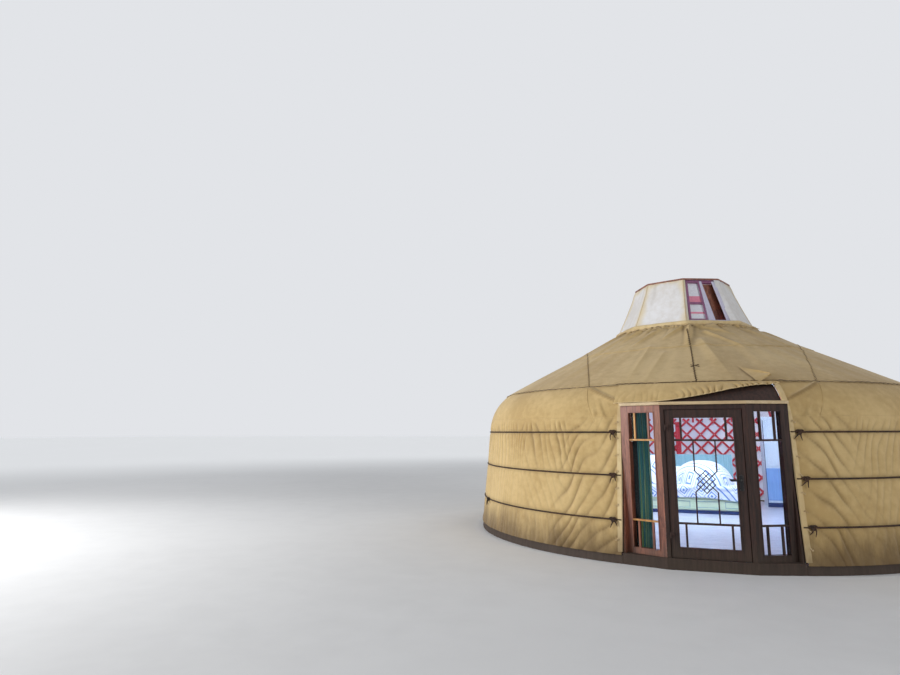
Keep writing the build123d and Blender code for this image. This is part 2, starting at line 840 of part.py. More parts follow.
with BuildPart() as right_sidelight_frame:
    add(side_light.part)
    add(cheek.part)
right_sidelight_frame.part.label = "right_sidelight_frame"
export_step(right_sidelight_frame.part, "parts/right_sidelight_frame.step")

with BuildPart() as left_sidelight_frame:
    mirror(right_sidelight_frame.part, about=Plane.YZ)
left_sidelight_frame.part.label = "left_sidelight_frame"
export_step(left_sidelight_frame.part, "parts/left_sidelight_frame.step")

with BuildPart() as right_sidelight_glass:
    with BuildSketch(side_plane.offset(-glass_setback)):
        with Locations(((side_glass_start + glass_end) / 2, (side_glass_bottom + side_glass_top) / 2)):
            Rectangle(
                side_glass_width - 2 * seat_gap, side_glass_top - side_glass_bottom - 2 * seat_gap
            )
    extrude(amount=-glass_thickness)
right_sidelight_glass.part.label = "right_sidelight_glass"
export_step(right_sidelight_glass.part, "parts/right_sidelight_glass.step")

with BuildPart() as left_sidelight_glass:
    mirror(right_sidelight_glass.part, about=Plane.YZ)
left_sidelight_glass.part.label = "left_sidelight_glass"
export_step(left_sidelight_glass.part, "parts/left_sidelight_glass.step")

# door leaf with the upper hinge halves
leaf_plane = front_plane.offset(-leaf_recess)
leaf_glass_half = leaf_half - stile
leaf_face = bay_front - leaf_recess
with BuildPart() as door_leaf:
    with BuildSketch(leaf_plane):
        Polygon(
            (-leaf_half, leaf_bottom),
            (leaf_half, leaf_bottom),
            (leaf_half, leaf_top),
            (-leaf_half, leaf_top),
            align=None,
        )
    extrude(amount=-leaf_thickness)
    with BuildSketch(leaf_plane):
        with Locations((0, (leaf_glass_bottom + leaf_glass_top) / 2)):
            Rectangle(2 * leaf_glass_half, leaf_glass_top - leaf_glass_bottom)
    extrude(amount=overcut * leaf_thickness, both=True, mode=Mode.SUBTRACT)
    for z in hinge_heights:
        with BuildSketch(Plane.XY.offset(z + knuckle_height + seat_gap)):
            with Locations((hinge_x, hinge_y)):
                Circle(knuckle_radius)
            Polygon(
                (-leaf_half, -leaf_face),
                (-leaf_half, hinge_y - knuckle_radius),
                (-leaf_half + stile / 3, hinge_y),
                (-leaf_half + stile / 3, -leaf_face),
                align=None,
            )
        extrude(amount=knuckle_height)
        with BuildSketch(Plane.XY.offset(z + knuckle_height)):
            with Locations((hinge_x, hinge_y)):
                Circle(bore_radius)
        extrude(amount=overcut * knuckle_height, mode=Mode.SUBTRACT)
door_leaf.part.label = "door_leaf"
export_step(door_leaf.part, "parts/door_leaf.step")

with BuildPart() as door_glass:
    with BuildSketch(leaf_plane.offset(-leaf_thickness / 2)):
        with Locations((0, (leaf_glass_bottom + leaf_glass_top) / 2)):
            Rectangle(
                2 * (leaf_glass_half - seat_gap), leaf_glass_top - leaf_glass_bottom - 2 * seat_gap
            )
    extrude(amount=-glass_thickness)
door_glass.part.label = "door_glass"
export_step(door_glass.part, "parts/door_glass.step")

# bars in front of the pane, with the endless knot in the middle light
bar_back = leaf_thickness / 2 - seat_gap
grille_levels = ((leaf_glass_bottom + seat_gap, rail_low), (rail_high, leaf_glass_top - seat_gap))
knot_height = (rail_low + rail_high) / 2
knot_side = knot_cell * sqrt(2)
knot_corner = 2 * knot_cell
arm_middle = (light_middle + knot_corner) / 2
arm_length = (light_middle - knot_corner) * sqrt(2) + knot_strip
knot_cells = []
for across in (-2, -1, 0, 1, 2):
    for up in (-3, -2, -1, 0, 1, 2, 3):
        if (across + up) % 2 and abs(across) + abs(up) <= 3:
            knot_cells.append((across * knot_cell, knot_height + up * knot_cell))
with BuildPart() as door_grille:
    with BuildSketch(leaf_plane.offset(-bar_back)):
        with Locations(*knot_cells):
            Rectangle(knot_side + knot_strip, knot_side + knot_strip, rotation=45)
        with Locations(*knot_cells):
            Rectangle(
                knot_side - knot_strip, knot_side - knot_strip, rotation=45, mode=Mode.SUBTRACT
            )
        for z in (rail_low, rail_high):
            with Locations((0, z)):
                Rectangle(2 * (leaf_glass_half - seat_gap), muntin_width)
        for side in (-1, 1):
            for low, high in grille_levels:
                with Locations((side * light_side, (low + high) / 2)):
                    Rectangle(muntin_width, high - low)
            for rise, end in ((1, rail_high), (-1, rail_low)):
                turn_height = knot_height + rise * light_middle
                with Locations((side * light_middle, (turn_height + end) / 2)):
                    Rectangle(knot_stem_width, abs(end - turn_height))
                with Locations((side * arm_middle, knot_height + rise * arm_middle)):
                    Rectangle(arm_length, knot_arm_width, rotation=45 * side * rise)
    extrude(amount=muntin_depth)
door_grille.part.label = "door_grille"
export_step(door_grille.part, "parts/door_grille.step")

# lever handle on both faces of the free stile
handle_x = leaf_half - handle_inset
with BuildPart() as door_handle:
    for face, outward in ((leaf_plane, 1), (leaf_plane.offset(-leaf_thickness), -1)):
        with BuildSketch(face.offset(outward * seat_gap)):
            with Locations((handle_x, handle_height - plate_drop)):
                RectangleRounded(plate_width, plate_height, plate_corner)
        extrude(amount=outward * plate_thickness)
        with BuildSketch(face.offset(outward * seat_gap)):
            with Locations((handle_x, handle_height)):
                Circle(lever_radius)
        extrude(amount=outward * lever_reach)
        with BuildSketch(face.offset(outward * (lever_reach - 2 * lever_radius))):
            with Locations((handle_x + lever_radius - lever_length / 2, handle_height)):
                RectangleRounded(lever_length, 2 * lever_radius, lever_corner)
        extrude(amount=outward * lever_depth)
door_handle.part.label = "door_handle"
export_step(door_handle.part, "parts/door_handle.step")

# taut ropes round the wall
rope_spacing = (shoulder_height - rope_drop - rope_low) / (rope_count - 1)
rope_start = bay_half_angle + rope_end_margin
with BuildPart() as wall_ropes:
    for index in range(rope_count):
        z = rope_low + index * rope_spacing
        with BuildSketch(radial_plane(rope_start)):
            with Locations((wall_r(z, -rope_radius - seat_gap), z)):
                RegularPolygon(rope_radius, 6, rotation=30 - wall_lean)
        revolve(axis=Axis.Z, revolution_arc=360 - 2 * rope_start)
wall_ropes.part.label = "wall_ropes"
export_step(wall_ropes.part, "parts/wall_ropes.step")

# what the door shows inside: a bed with its headboard, bedding, a cabinet and a curtain
bed_back = bed_front + bed_depth
with BuildPart() as bed_platform:
    with BuildSketch(Plane.XY.offset(floor_top)):
        with Locations((0, bed_front)):
            Rectangle(2 * bed_half_width, bed_depth, align=(Align.CENTER, Align.MIN))
    extrude(amount=bed_height - floor_top)
    chamfer(bed_platform.edges().filter_by(Axis.Z), length=bed_corner)
    with BuildSketch(Plane.XY.offset(floor_top)):
        with Locations((0, bed_back)):
            Rectangle(2 * headboard_half_width, headboard_thickness, align=(Align.CENTER, Align.MIN))
    extrude(amount=headboard_top - floor_top)
    # upright grooves at both ends of the headboard's face
    with BuildSketch(Plane.XY.offset(bed_height + mattress_height)):
        for side in (-1, 1):
            for index in range(groove_count):
                x = side * (headboard_half_width - (index + 1) * groove_pitch)
                with Locations((x, bed_back)):
                    Rectangle(groove_width, 2 * groove_depth)
    extrude(amount=headboard_top, mode=Mode.SUBTRACT)
bed_platform.part.label = "bed_platform"
export_step(bed_platform.part, "parts/bed_platform.step")

# mattress with the quilt heaped up on it
with BuildPart() as bedding:
    with BuildSketch(Plane.XY.offset(bed_height + seat_gap)):
        with Locations((0, bed_front + mattress_inset)):
            RectangleRounded(
                2 * (bed_half_width - mattress_inset),
                bed_depth - 2 * mattress_inset,
                mattress_corner,
                align=(Align.CENTER, Align.MIN),
            )
    extrude(amount=mattress_height)
    fillet(bedding.edges().group_by(Axis.Z)[-1], radius=mattress_round)
    for x, y, heap_reach, heap_rise in quilt_heaps:
        centre = (x, bed_front + y, bed_height + seat_gap)
        with BuildSketch(Plane(origin=centre, x_dir=(1, 0, 0), z_dir=(0, -1, 0))):
            with BuildLine():
                EllipticalCenterArc((0, 0), heap_reach, heap_rise, start_angle=0, arc_size=90)
                Polyline((0, heap_rise), (0, 0), (heap_reach, 0))
            make_face()
        revolve(axis=Axis(centre, (0, 0, 1)))
bedding.part.label = "bedding"
export_step(bedding.part, "parts/bedding.step")

# cabinet, whose far top corner stays clear of the roof poles
cabinet_top = floor_top + cabinet_height
pole_inner = pole_outer + pole_depth
pole_radius = shoulder_point(pole_inner, shoulder_angle(cabinet_top, pole_inner))[0]
with BuildPart() as cabinet:
    with BuildSketch(Plane.XY.offset(floor_top)):
        with Locations(plan_point(pole_radius - cabinet_clearance, cabinet_azimuth)):
            Rectangle(cabinet_width, cabinet_depth, align=(Align.MAX, Align.MAX))
    extrude(amount=cabinet_height)
cabinet.part.label = "cabinet"
export_step(cabinet.part, "parts/cabinet.step")

with BuildPart() as curtain_blank:
    with BuildSketch(side_plane.offset(-bay_depth - seat_gap)):
        with Locations((side_glass_start + curtain_inset, floor_top + seat_gap)):
            Rectangle(curtain_width, side_glass_top - floor_top, align=(Align.MIN, Align.MIN))
    extrude(amount=-curtain_thickness)
with BuildPart() as curtain_left:
    mirror(curtain_blank.part, about=Plane.YZ)
curtain_left.part.label = "curtain_left"
export_step(curtain_left.part, "parts/curtain_left.step")
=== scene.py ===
"""Looks of a round felt tent with a glazed door bay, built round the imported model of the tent.

Everything is in metres in the model's frame: +Z is up, the door faces -Y and azimuths are counted
from the door towards +X. Cloth, ropes, fine lattice, mouldings and bedding are made here as
surfaces worked out with numpy, and the model's own wooden pieces get their finishes here.
"""

import logging
import math
from dataclasses import dataclass, field
from enum import Enum
from typing import Iterable, Sequence

import bmesh
import bpy
import numpy as np
from mathutils import Matrix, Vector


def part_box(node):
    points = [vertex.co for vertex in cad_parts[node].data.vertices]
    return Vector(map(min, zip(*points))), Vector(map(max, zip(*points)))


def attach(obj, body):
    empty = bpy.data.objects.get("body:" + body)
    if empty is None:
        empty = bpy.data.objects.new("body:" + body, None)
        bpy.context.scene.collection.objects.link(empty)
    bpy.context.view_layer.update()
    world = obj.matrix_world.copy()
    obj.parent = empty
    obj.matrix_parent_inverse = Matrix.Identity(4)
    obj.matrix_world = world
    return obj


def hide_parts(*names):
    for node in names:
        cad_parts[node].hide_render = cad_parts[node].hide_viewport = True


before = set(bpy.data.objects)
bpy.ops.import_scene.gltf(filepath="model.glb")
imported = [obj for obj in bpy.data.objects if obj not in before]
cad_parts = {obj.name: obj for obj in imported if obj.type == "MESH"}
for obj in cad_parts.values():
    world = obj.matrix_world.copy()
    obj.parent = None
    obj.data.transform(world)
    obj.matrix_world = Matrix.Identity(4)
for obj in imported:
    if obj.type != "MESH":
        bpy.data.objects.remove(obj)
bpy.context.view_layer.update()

log = logging.getLogger("tent")

Array = np.ndarray
Colour = tuple[float, float, float, float]

UP = np.array([0.0, 0.0, 1.0])


class Body(Enum):
    """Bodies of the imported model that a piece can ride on."""

    YURT = "yurt"
    DOOR = "door"


class Finish(Enum):
    """Finishes of the tent's pieces."""

    CANVAS = "canvas"
    LANTERN_CLOTH = "lantern_cloth"
    FELT = "felt_liner"
    EDGE_TAPE = "edge_tape"
    SEAM = "seam_thread"
    RED_WOOD = "red_lattice_wood"
    BAY_WOOD = "bay_wood"
    # red-brown bay wood darkened by painted shade
    PAINTED_SHADE_WOOD = "painted_shade_wood"
    # the bay wood lightened by a painted highlight
    PAINTED_HIGHLIGHT_WOOD = "painted_highlight_wood"
    CREAM_PAINT = "cream_paint"
    WHITE_PAINT = "white_paint"
    GREEN_PAINT = "green_paint"
    BLUE_PAINT = "blue_paint"
    PALE_PAINT = "pale_blue_paint"
    TEAL_PAINT = "teal_paint"
    BOARDS = "floor_boards"
    ROPE = "rope"
    GLASS = "glass"
    BLACK_METAL = "black_metal"
    LASHING = "lashing"
    MILK_GLASS = "milk_glass"
    ROSE_PAINT = "rose_paint"
    SKY_PAINT = "sky_paint"
    PLUM_PAINT = "plum_paint"
    QUILT = "quilt"
    LINEN = "linen"
    CURTAIN = "curtain"


def paint(red: int, green: int, blue: int) -> Colour:
    """Linear colour of a display colour.

    Args:
        red: Red, 0 to 255.
        green: Green, 0 to 255.
        blue: Blue, 0 to 255.

    Returns:
        The colour as the shader nodes take it, with an alpha of 1.
    """
    share = np.array([red, green, blue]) / 255
    linear = np.where(share <= 0.04045, share / 12.92, ((share + 0.055) / 1.055) ** 2.4)
    return (*(float(c) for c in linear), 1.0)


def smooth_step(low: float, high: float, value: Array) -> Array:
    """Smooth rise from 0 at low to 1 at high, as 3t^2 - 2t^3 of the clipped share."""
    share = np.clip((value - low) / (high - low), 0, 1)
    return share * share * (3 - 2 * share)


def bell(value: Array, centre: float, width: float) -> Array:
    """Bell curve of height 1: e to the minus square of the distance in widths."""
    return np.exp(-(((value - centre) / width) ** 2))


def noise(seed: int, u: Array, v: Array) -> Array:
    """Smooth noise from -1 to 1: seeded values on a whole-number grid, blended with 3t^2 - 2t^3.

    Args:
        seed: Seed of the grid's values.
        u: First coordinate, in grid steps.
        v: Second coordinate, in grid steps.

    Returns:
        The noise at each pair of coordinates.
    """
    size = 256
    table = np.random.default_rng(seed).uniform(-1, 1, (size, size))
    u, v = np.broadcast_arrays(np.asarray(u, float), np.asarray(v, float))
    column, row = np.floor(u).astype(int), np.floor(v).astype(int)
    across, up = u - column, v - row
    across, up = across * across * (3 - 2 * across), up * up * (3 - 2 * up)
    left, right = column % size, (column + 1) % size
    low, high = row % size, (row + 1) % size
    lower = table[left, low] * (1 - across) + table[right, low] * across
    upper = table[left, high] * (1 - across) + table[right, high] * across
    return lower * (1 - up) + upper * up


def gather(phase: Array, sharpness: float = 0.8) -> Array:
    """Gathered cloth, from 0 in its narrow valleys to 1 on its round crests: |cos(pi x)| to a power."""
    return np.abs(np.cos(np.pi * phase)) ** sharpness


def unit(vectors: Array) -> Array:
    """Vectors divided by their lengths."""
    return vectors / np.maximum(np.linalg.norm(vectors, axis=-1, keepdims=True), 1e-12)


@dataclass
class Shape:
    """Points and faces of a piece before it becomes a mesh."""

    points: Array
    faces: list[Array]  # arrays of corner numbers, each (m, corners)
    maps: list[Array]  # map coordinates of the corners in metres, each (m, corners, 2)
    values: dict[str, Array] = field(default_factory=dict)  # named numbers on the points, each (n,)


def grid(points: Array, closed_u: bool = False, closed_v: bool = False, **values: Array) -> Shape:
    """Surface through a grid of points, with running lengths as its map coordinates.

    Args:
        points: Places, (rows, columns, 3).
        closed_u: Whether the last row joins the first.
        closed_v: Whether the last column joins the first.
        **values: Named numbers on the points, each (rows, columns).

    Returns:
        The surface as four-sided faces.
    """
    rows, columns = points.shape[:2]
    index = np.arange(rows * columns).reshape(rows, columns)
    around = points
    if closed_u:
        index = np.vstack([index, index[:1]])
        around = np.concatenate([around, around[:1]], 0)
    if closed_v:
        index = np.hstack([index, index[:, :1]])
        around = np.concatenate([around, around[:, :1]], 1)
    step_u = np.linalg.norm(np.diff(around, axis=0), axis=2).mean(1)
    step_v = np.linalg.norm(np.diff(around, axis=1), axis=2).mean(0)
    length_u = np.concatenate([[0], np.cumsum(step_u)])
    length_v = np.concatenate([[0], np.cumsum(step_v)])
    cloth = np.stack(np.meshgrid(length_u, length_v, indexing="ij"), -1)

    def corners(table: Array) -> Array:
        """Four corners of each face, read from a table on the grid."""
        four = (table[:-1, :-1], table[1:, :-1], table[1:, 1:], table[:-1, 1:])
        return np.stack(four, 2).reshape(-1, 4, *table.shape[2:])

    flat = {name: np.broadcast_to(value, (rows, columns)).ravel() for name, value in values.items()}
    return Shape(points.reshape(-1, 3), [corners(index)], [corners(cloth)], flat)


def join(shapes: Iterable[Shape]) -> Shape:
    """One shape of several, whose faces are renumbered by the points before them."""
    shapes = list(shapes)
    starts = np.cumsum([0] + [len(shape.points) for shape in shapes])
    names = {name for shape in shapes for name in shape.values}
    return Shape(
        np.concatenate([shape.points for shape in shapes]),
        [face + start for shape, start in zip(shapes, starts) for face in shape.faces],
        [cloth for shape in shapes for cloth in shape.maps],
        {
            name: np.concatenate([s.values.get(name, np.zeros(len(s.points))) for s in shapes])
            for name in sorted(names)
        },
    )


def sweep(profile: Array, path: Array, normal: Array, closed: bool = False) -> Shape:
    """A closed profile carried along a path.

    At each point of the path the profile's x runs along tangent x normal and its y along the normal.

    Args:
        profile: Points of the profile, (k, 2), or one profile for each path point, (n, k, 2).
        path: Places, (n, 3).
        normal: The side that the profile's y points to, (3,) or (n, 3).
        closed: Whether the path's end joins its start.

    Returns:
        The swept tube, with its ends closed by flat faces unless the path is closed.
    """
    if closed:
        tangent = np.roll(path, -1, 0) - np.roll(path, 1, 0)
    else:
        tangent = np.gradient(path, axis=0)
    across = unit(np.cross(tangent, np.broadcast_to(normal, path.shape)))
    outward = unit(np.cross(across, tangent))
    ring = np.broadcast_to(profile, (len(path), *profile.shape[-2:]))
    points = path[:, None] + ring[..., :1] * across[:, None] + ring[..., 1:] * outward[:, None]
    tube = grid(points, closed_u=closed, closed_v=True)
    if closed:
        return tube
    count = ring.shape[1]
    first = np.arange(count)[None]
    last = first[:, ::-1] + (len(path) - 1) * count
    tube.faces += [first, last]
    tube.maps += [ring[0][None], ring[-1][None, ::-1]]
    return tube


def box_profile(width: float, depth: float) -> Array:
    """Rectangle centred on its path."""
    return np.array([(-1, -1), (1, -1), (1, 1), (-1, 1)]) * np.array([width, depth]) / 2


def round_profile(radius: float, sides: int, squash: float = 1.0) -> Array:
    """Circle of a radius, flattened along the normal by a share."""
    angle = np.arange(sides) * 2 * np.pi / sides
    return np.stack([np.cos(angle), np.sin(angle) * squash], -1) * radius


def bar(start: Sequence[float], end: Sequence[float], width: float, depth: float, normal: Array) -> Shape:
    """Straight bar between two points, as wide across and as deep along the normal as given."""
    return sweep(box_profile(width, depth), np.array([start, end], float), normal)


@dataclass(frozen=True)
class Panel:
    """A flat place of the tent with its own axes."""

    origin: Array  # place of its corner
    across: Array  # direction along it
    up: Array = field(default_factory=lambda: UP)  # direction up it

    @property
    def out(self) -> Array:
        """Direction away from the panel's face."""
        return np.cross(self.across, self.up)

    def place(self, along: float, height: float, out: float = 0.0) -> Array:
        """Point of the panel at a distance along it, up it and out of it."""
        return self.origin + along * self.across + height * self.up + out * self.out

    def upright(
        self, along: float, low: float, high: float, width: float, depth: float, out: float
    ) -> Shape:
        """Upright bar whose back lies at a distance out of the panel."""
        ends = [self.place(along, height, out + depth / 2) for height in (low, high)]
        return bar(*ends, width, depth, self.out)

    def level(
        self, height: float, left: float, right: float, width: float, depth: float, out: float
    ) -> Shape:
        """Level bar whose back lies at a distance out of the panel."""
        ends = [self.place(along, height, out + depth / 2) for along in (left, right)]
        return bar(*ends, width, depth, self.out)

    def surround(
        self, left: float, right: float, low: float, high: float, width: float, depth: float, out: float
    ) -> list[Shape]:
        """Four bars round an opening, inside its edges."""
        half = width / 2
        return [
            self.upright(left + half, low, high, width, depth, out),
            self.upright(right - half, low, high, width, depth, out),
            self.level(low + half, left + width, right - width, width, depth, out),
            self.level(high - half, left + width, right - width, width, depth, out),
        ]


class NodeWriter:
    """Adds nodes to one tree and joins them."""

    def __init__(self, tree: bpy.types.NodeTree) -> None:
        """Starts writing in a tree.

        Args:
            tree: Node tree of a material or a node group.
        """
        self.tree = tree

    def add(self, kind: str, inputs: dict | None = None, **settings) -> bpy.types.Node:
        """Adds a node.

        Args:
            kind: Type of the node.
            inputs: Values or sockets for its inputs, by name or number.
            **settings: Other properties of the node.

        Returns:
            The new node.
        """
        node = self.tree.nodes.new(kind)
        node.location = (180 * len(self.tree.nodes), 0)
        for name, value in settings.items():
            setattr(node, name, value)
        self.feed(node, inputs or {})
        return node

    def feed(self, node: bpy.types.Node, inputs: dict) -> None:
        """Gives inputs of a node their values or sockets, by name or number."""
        for key, value in inputs.items():
            if isinstance(value, bpy.types.NodeSocket):
                self.tree.links.new(value, node.inputs[key])
            else:
                node.inputs[key].default_value = value

    def maths(self, operation: str, *values) -> bpy.types.NodeSocket:
        """Result of a math node on up to three numbers or sockets."""
        return self.add("ShaderNodeMath", dict(enumerate(values)), operation=operation).outputs[0]

    def mix(self, share, first, second) -> bpy.types.NodeSocket:
        """Colour between two colours at a share."""
        return self.add("ShaderNodeMix", {0: share, 6: first, 7: second}, data_type="RGBA").outputs[2]

    def band(self, value, low: float, high: float, start=0.0, end=1.0) -> bpy.types.NodeSocket:
        """Smooth change from start at low to end at high."""
        inputs = {"Value": value, "From Min": low, "From Max": high, "To Min": start, "To Max": end}
        node = self.add("ShaderNodeMapRange", inputs, interpolation_type="SMOOTHSTEP")
        return node.outputs["Result"]

    def noise(self, vector, scale, detail: float = 3.0, roughness: float = 0.55) -> bpy.types.NodeSocket:
        """Noise from 0 to 1 at a place."""
        inputs = {"Vector": vector, "Scale": scale, "Detail": detail, "Roughness": roughness}
        return self.add("ShaderNodeTexNoise", inputs).outputs["Fac"]

    def scaled(
        self, vector, scale: Sequence[float], turn: Sequence[float] = (0, 0, 0)
    ) -> bpy.types.NodeSocket:
        """Coordinates turned and then stretched along each axis."""
        inputs = {"Vector": vector, "Scale": scale, "Rotation": turn}
        return self.add("ShaderNodeMapping", inputs).outputs["Vector"]

    def place(self) -> bpy.types.NodeSocket:
        """Object coordinates."""
        return self.add("ShaderNodeTexCoord").outputs["Object"]

    def cloth_map(self) -> bpy.types.NodeSocket:
        """Map coordinates of the cloth, in metres."""
        return self.add("ShaderNodeUVMap", uv_map="Cloth").outputs["UV"]

    def value(self, name: str) -> bpy.types.NodeSocket:
        """A number that the mesh holds on its points."""
        return self.add("ShaderNodeAttribute", attribute_name=name).outputs["Fac"]

    def parts(self, vector) -> tuple[bpy.types.NodeSocket, ...]:
        """X, Y and Z of a vector."""
        return tuple(self.add("ShaderNodeSeparateXYZ", {0: vector}).outputs)

    def bump(self, height, distance: float, strength: float = 1.0) -> bpy.types.NodeSocket:
        """Normal of a height field."""
        inputs = {"Height": height, "Distance": distance, "Strength": strength}
        return self.add("ShaderNodeBump", inputs).outputs["Normal"]

    def group(self, tree: bpy.types.NodeTree, **inputs) -> dict[str, bpy.types.NodeSocket]:
        """Outputs of a node group set to these inputs."""
        node = self.add("ShaderNodeGroup", node_tree=tree)
        self.feed(node, {name.capitalize(): value for name, value in inputs.items()})
        return {socket.name: socket for socket in node.outputs}


def new_group(
    name: str, inputs: dict[str, tuple[str, object]], outputs: dict[str, str]
) -> tuple[bpy.types.NodeTree, NodeWriter, dict[str, bpy.types.NodeSocket], bpy.types.Node]:
    """Starts a shader node group.

    Args:
        name: Name of the group.
        inputs: Socket type and default of each input; a default of None is left alone.
        outputs: Socket type of each output.

    Returns:
        The tree, its writer, its inputs by name and its output node.
    """
    tree = bpy.data.node_groups.new(name, "ShaderNodeTree")
    for label, (kind, default) in inputs.items():
        socket = tree.interface.new_socket(label, in_out="INPUT", socket_type="NodeSocket" + kind)
        if default is not None:
            socket.default_value = default
    for label, kind in outputs.items():
        tree.interface.new_socket(label, in_out="OUTPUT", socket_type="NodeSocket" + kind)
    writer = NodeWriter(tree)
    entry = writer.add("NodeGroupInput")
    leave = writer.add("NodeGroupOutput")
    return tree, writer, {socket.name: socket for socket in entry.outputs}, leave


class Effects:
    """Node groups that several finishes share."""

    def __init__(self) -> None:
        """Builds each group once."""
        self.mottle = self.build_mottle()
        self.weave = self.build_weave()
        self.grain = self.build_grain()
        self.dirt_and_shade = self.build_dirt_and_shade()
        self.wear = self.build_wear()

    @staticmethod
    def build_mottle() -> bpy.types.NodeTree:
        """Colour that wanders between two colours at a broad and a fine scale."""
        tree, w, given, leave = new_group(
            "mottle",
            {
                "Vector": ("Vector", None),
                "Scale": ("Float", 1.0),
                "Light": ("Color", (1, 1, 1, 1)),
                "Dark": ("Color", (0, 0, 0, 1)),
            },
            {"Color": "Color", "Mask": "Float"},
        )
        broad = w.noise(given["Vector"], given["Scale"], 4)
        fine = w.noise(given["Vector"], w.maths("MULTIPLY", given["Scale"], 14.0), 3)
        blend = w.maths("MULTIPLY_ADD", w.maths("SUBTRACT", fine, 0.5), 0.45, broad)
        mask = w.band(blend, 0.3, 0.7)
        w.feed(leave, {
            "Color": w.mix(mask, given["Light"], given["Dark"]),
            "Mask": mask,
        })
        return tree

    @staticmethod
    def build_weave() -> bpy.types.NodeTree:
        """Plain weave: threads that pass over and under each other, as a height from 0 to 1."""
        tree, w, given, leave = new_group(
            "weave", {"Vector": ("Vector", None), "Threads": ("Float", 400.0)}, {"Height": "Float"}
        )
        across, along, _ = w.parts(given["Vector"])
        waves = []
        for coordinate in (across, along):
            turn = w.maths("MULTIPLY", w.maths("MULTIPLY", coordinate, given["Threads"]), math.tau)
            waves.append(w.maths("SINE", turn))
        product = w.maths("MULTIPLY", waves[0], waves[1])
        w.feed(leave, {"Height": w.maths("MULTIPLY_ADD", product, 0.5, 0.5)})
        return tree

    @staticmethod
    def build_grain() -> bpy.types.NodeTree:
        """Wood grain along Z of its vector: long streaks and finer pores."""
        tree, w, given, leave = new_group(
            "grain",
            {"Vector": ("Vector", None), "Scale": ("Float", 1.0)},
            {"Mask": "Float", "Height": "Float"},
        )
        inputs = {0: given["Vector"], 3: given["Scale"]}
        place = w.add("ShaderNodeVectorMath", inputs, operation="SCALE").outputs[0]
        stretched = w.scaled(place, (26, 26, 1.6))
        streaks = w.noise(stretched, 1.0, 5, 0.6)
        rings = w.maths("FRACT", w.maths("MULTIPLY", streaks, 5.0))
        pores = w.noise(w.scaled(place, (260, 260, 9)), 1.0, 2)
        mask = w.maths("MULTIPLY_ADD", rings, 0.35, w.maths("MULTIPLY", streaks, 0.75))
        w.feed(leave, {
            "Mask": mask,
            "Height": w.maths("MULTIPLY_ADD", pores, 0.6, mask),
        })
        return tree

    @staticmethod
    def build_dirt_and_shade() -> bpy.types.NodeTree:
        """Darkening that fades out at a height above the ground, with a ragged upper edge: splashed dirt,
        and on the wall canvas also painted shadow of the grass.
        """
        tree, w, given, leave = new_group(
            "dirt_and_shade",
            {"Vector": ("Vector", None), "Height": ("Float", 0.4), "Softness": ("Float", 0.3)},
            {"Mask": "Float"},
        )
        _, _, height = w.parts(given["Vector"])
        ragged = w.noise(w.scaled(given["Vector"], (5, 5, 1.4)), 1.0, 5, 0.65)
        reach = w.maths("MULTIPLY", given["Softness"], 1.8)
        spread = w.maths("MULTIPLY", w.maths("SUBTRACT", ragged, 0.5), reach)
        edge = w.maths("SUBTRACT", w.maths("SUBTRACT", given["Height"], height), spread)
        share = w.maths("DIVIDE", edge, given["Softness"])
        w.feed(leave, {"Mask": w.band(share, -0.5, 1.0)})
        return tree

    @staticmethod
    def build_wear() -> bpy.types.NodeTree:
        """Worn edges: places whose rounded normal leaves the face's own, broken up by noise."""
        tree, w, given, leave = new_group(
            "wear", {"Vector": ("Vector", None), "Amount": ("Float", 0.5)}, {"Mask": "Float"}
        )
        rounded = w.add("ShaderNodeBevel", {"Radius": 0.007}, samples=4).outputs[0]
        flat = w.add("ShaderNodeNewGeometry").outputs["True Normal"]
        match = w.add("ShaderNodeVectorMath", {0: rounded, 1: flat}, operation="DOT_PRODUCT")
        edge = w.band(match.outputs["Value"], 0.99, 0.86)
        broken = w.band(w.noise(given["Vector"], 24.0, 4), 0.42, 0.62)
        mask = w.maths("MULTIPLY", w.maths("MULTIPLY", edge, broken), given["Amount"])
        w.feed(leave, {"Mask": mask})
        return tree


def start_material(name: str) -> tuple[bpy.types.Material, NodeWriter, bpy.types.Node]:
    """A new material with an empty tree and its main shader.

    Args:
        name: Name of the material.

    Returns:
        The material, a writer for its tree and its shader node.
    """
    material = bpy.data.materials.new(name)
    material.use_nodes = True
    material.node_tree.nodes.clear()
    writer = NodeWriter(material.node_tree)
    shader = writer.add("ShaderNodeBsdfPrincipled")
    writer.add("ShaderNodeOutputMaterial", {"Surface": shader.outputs[0]})
    return material, writer, shader


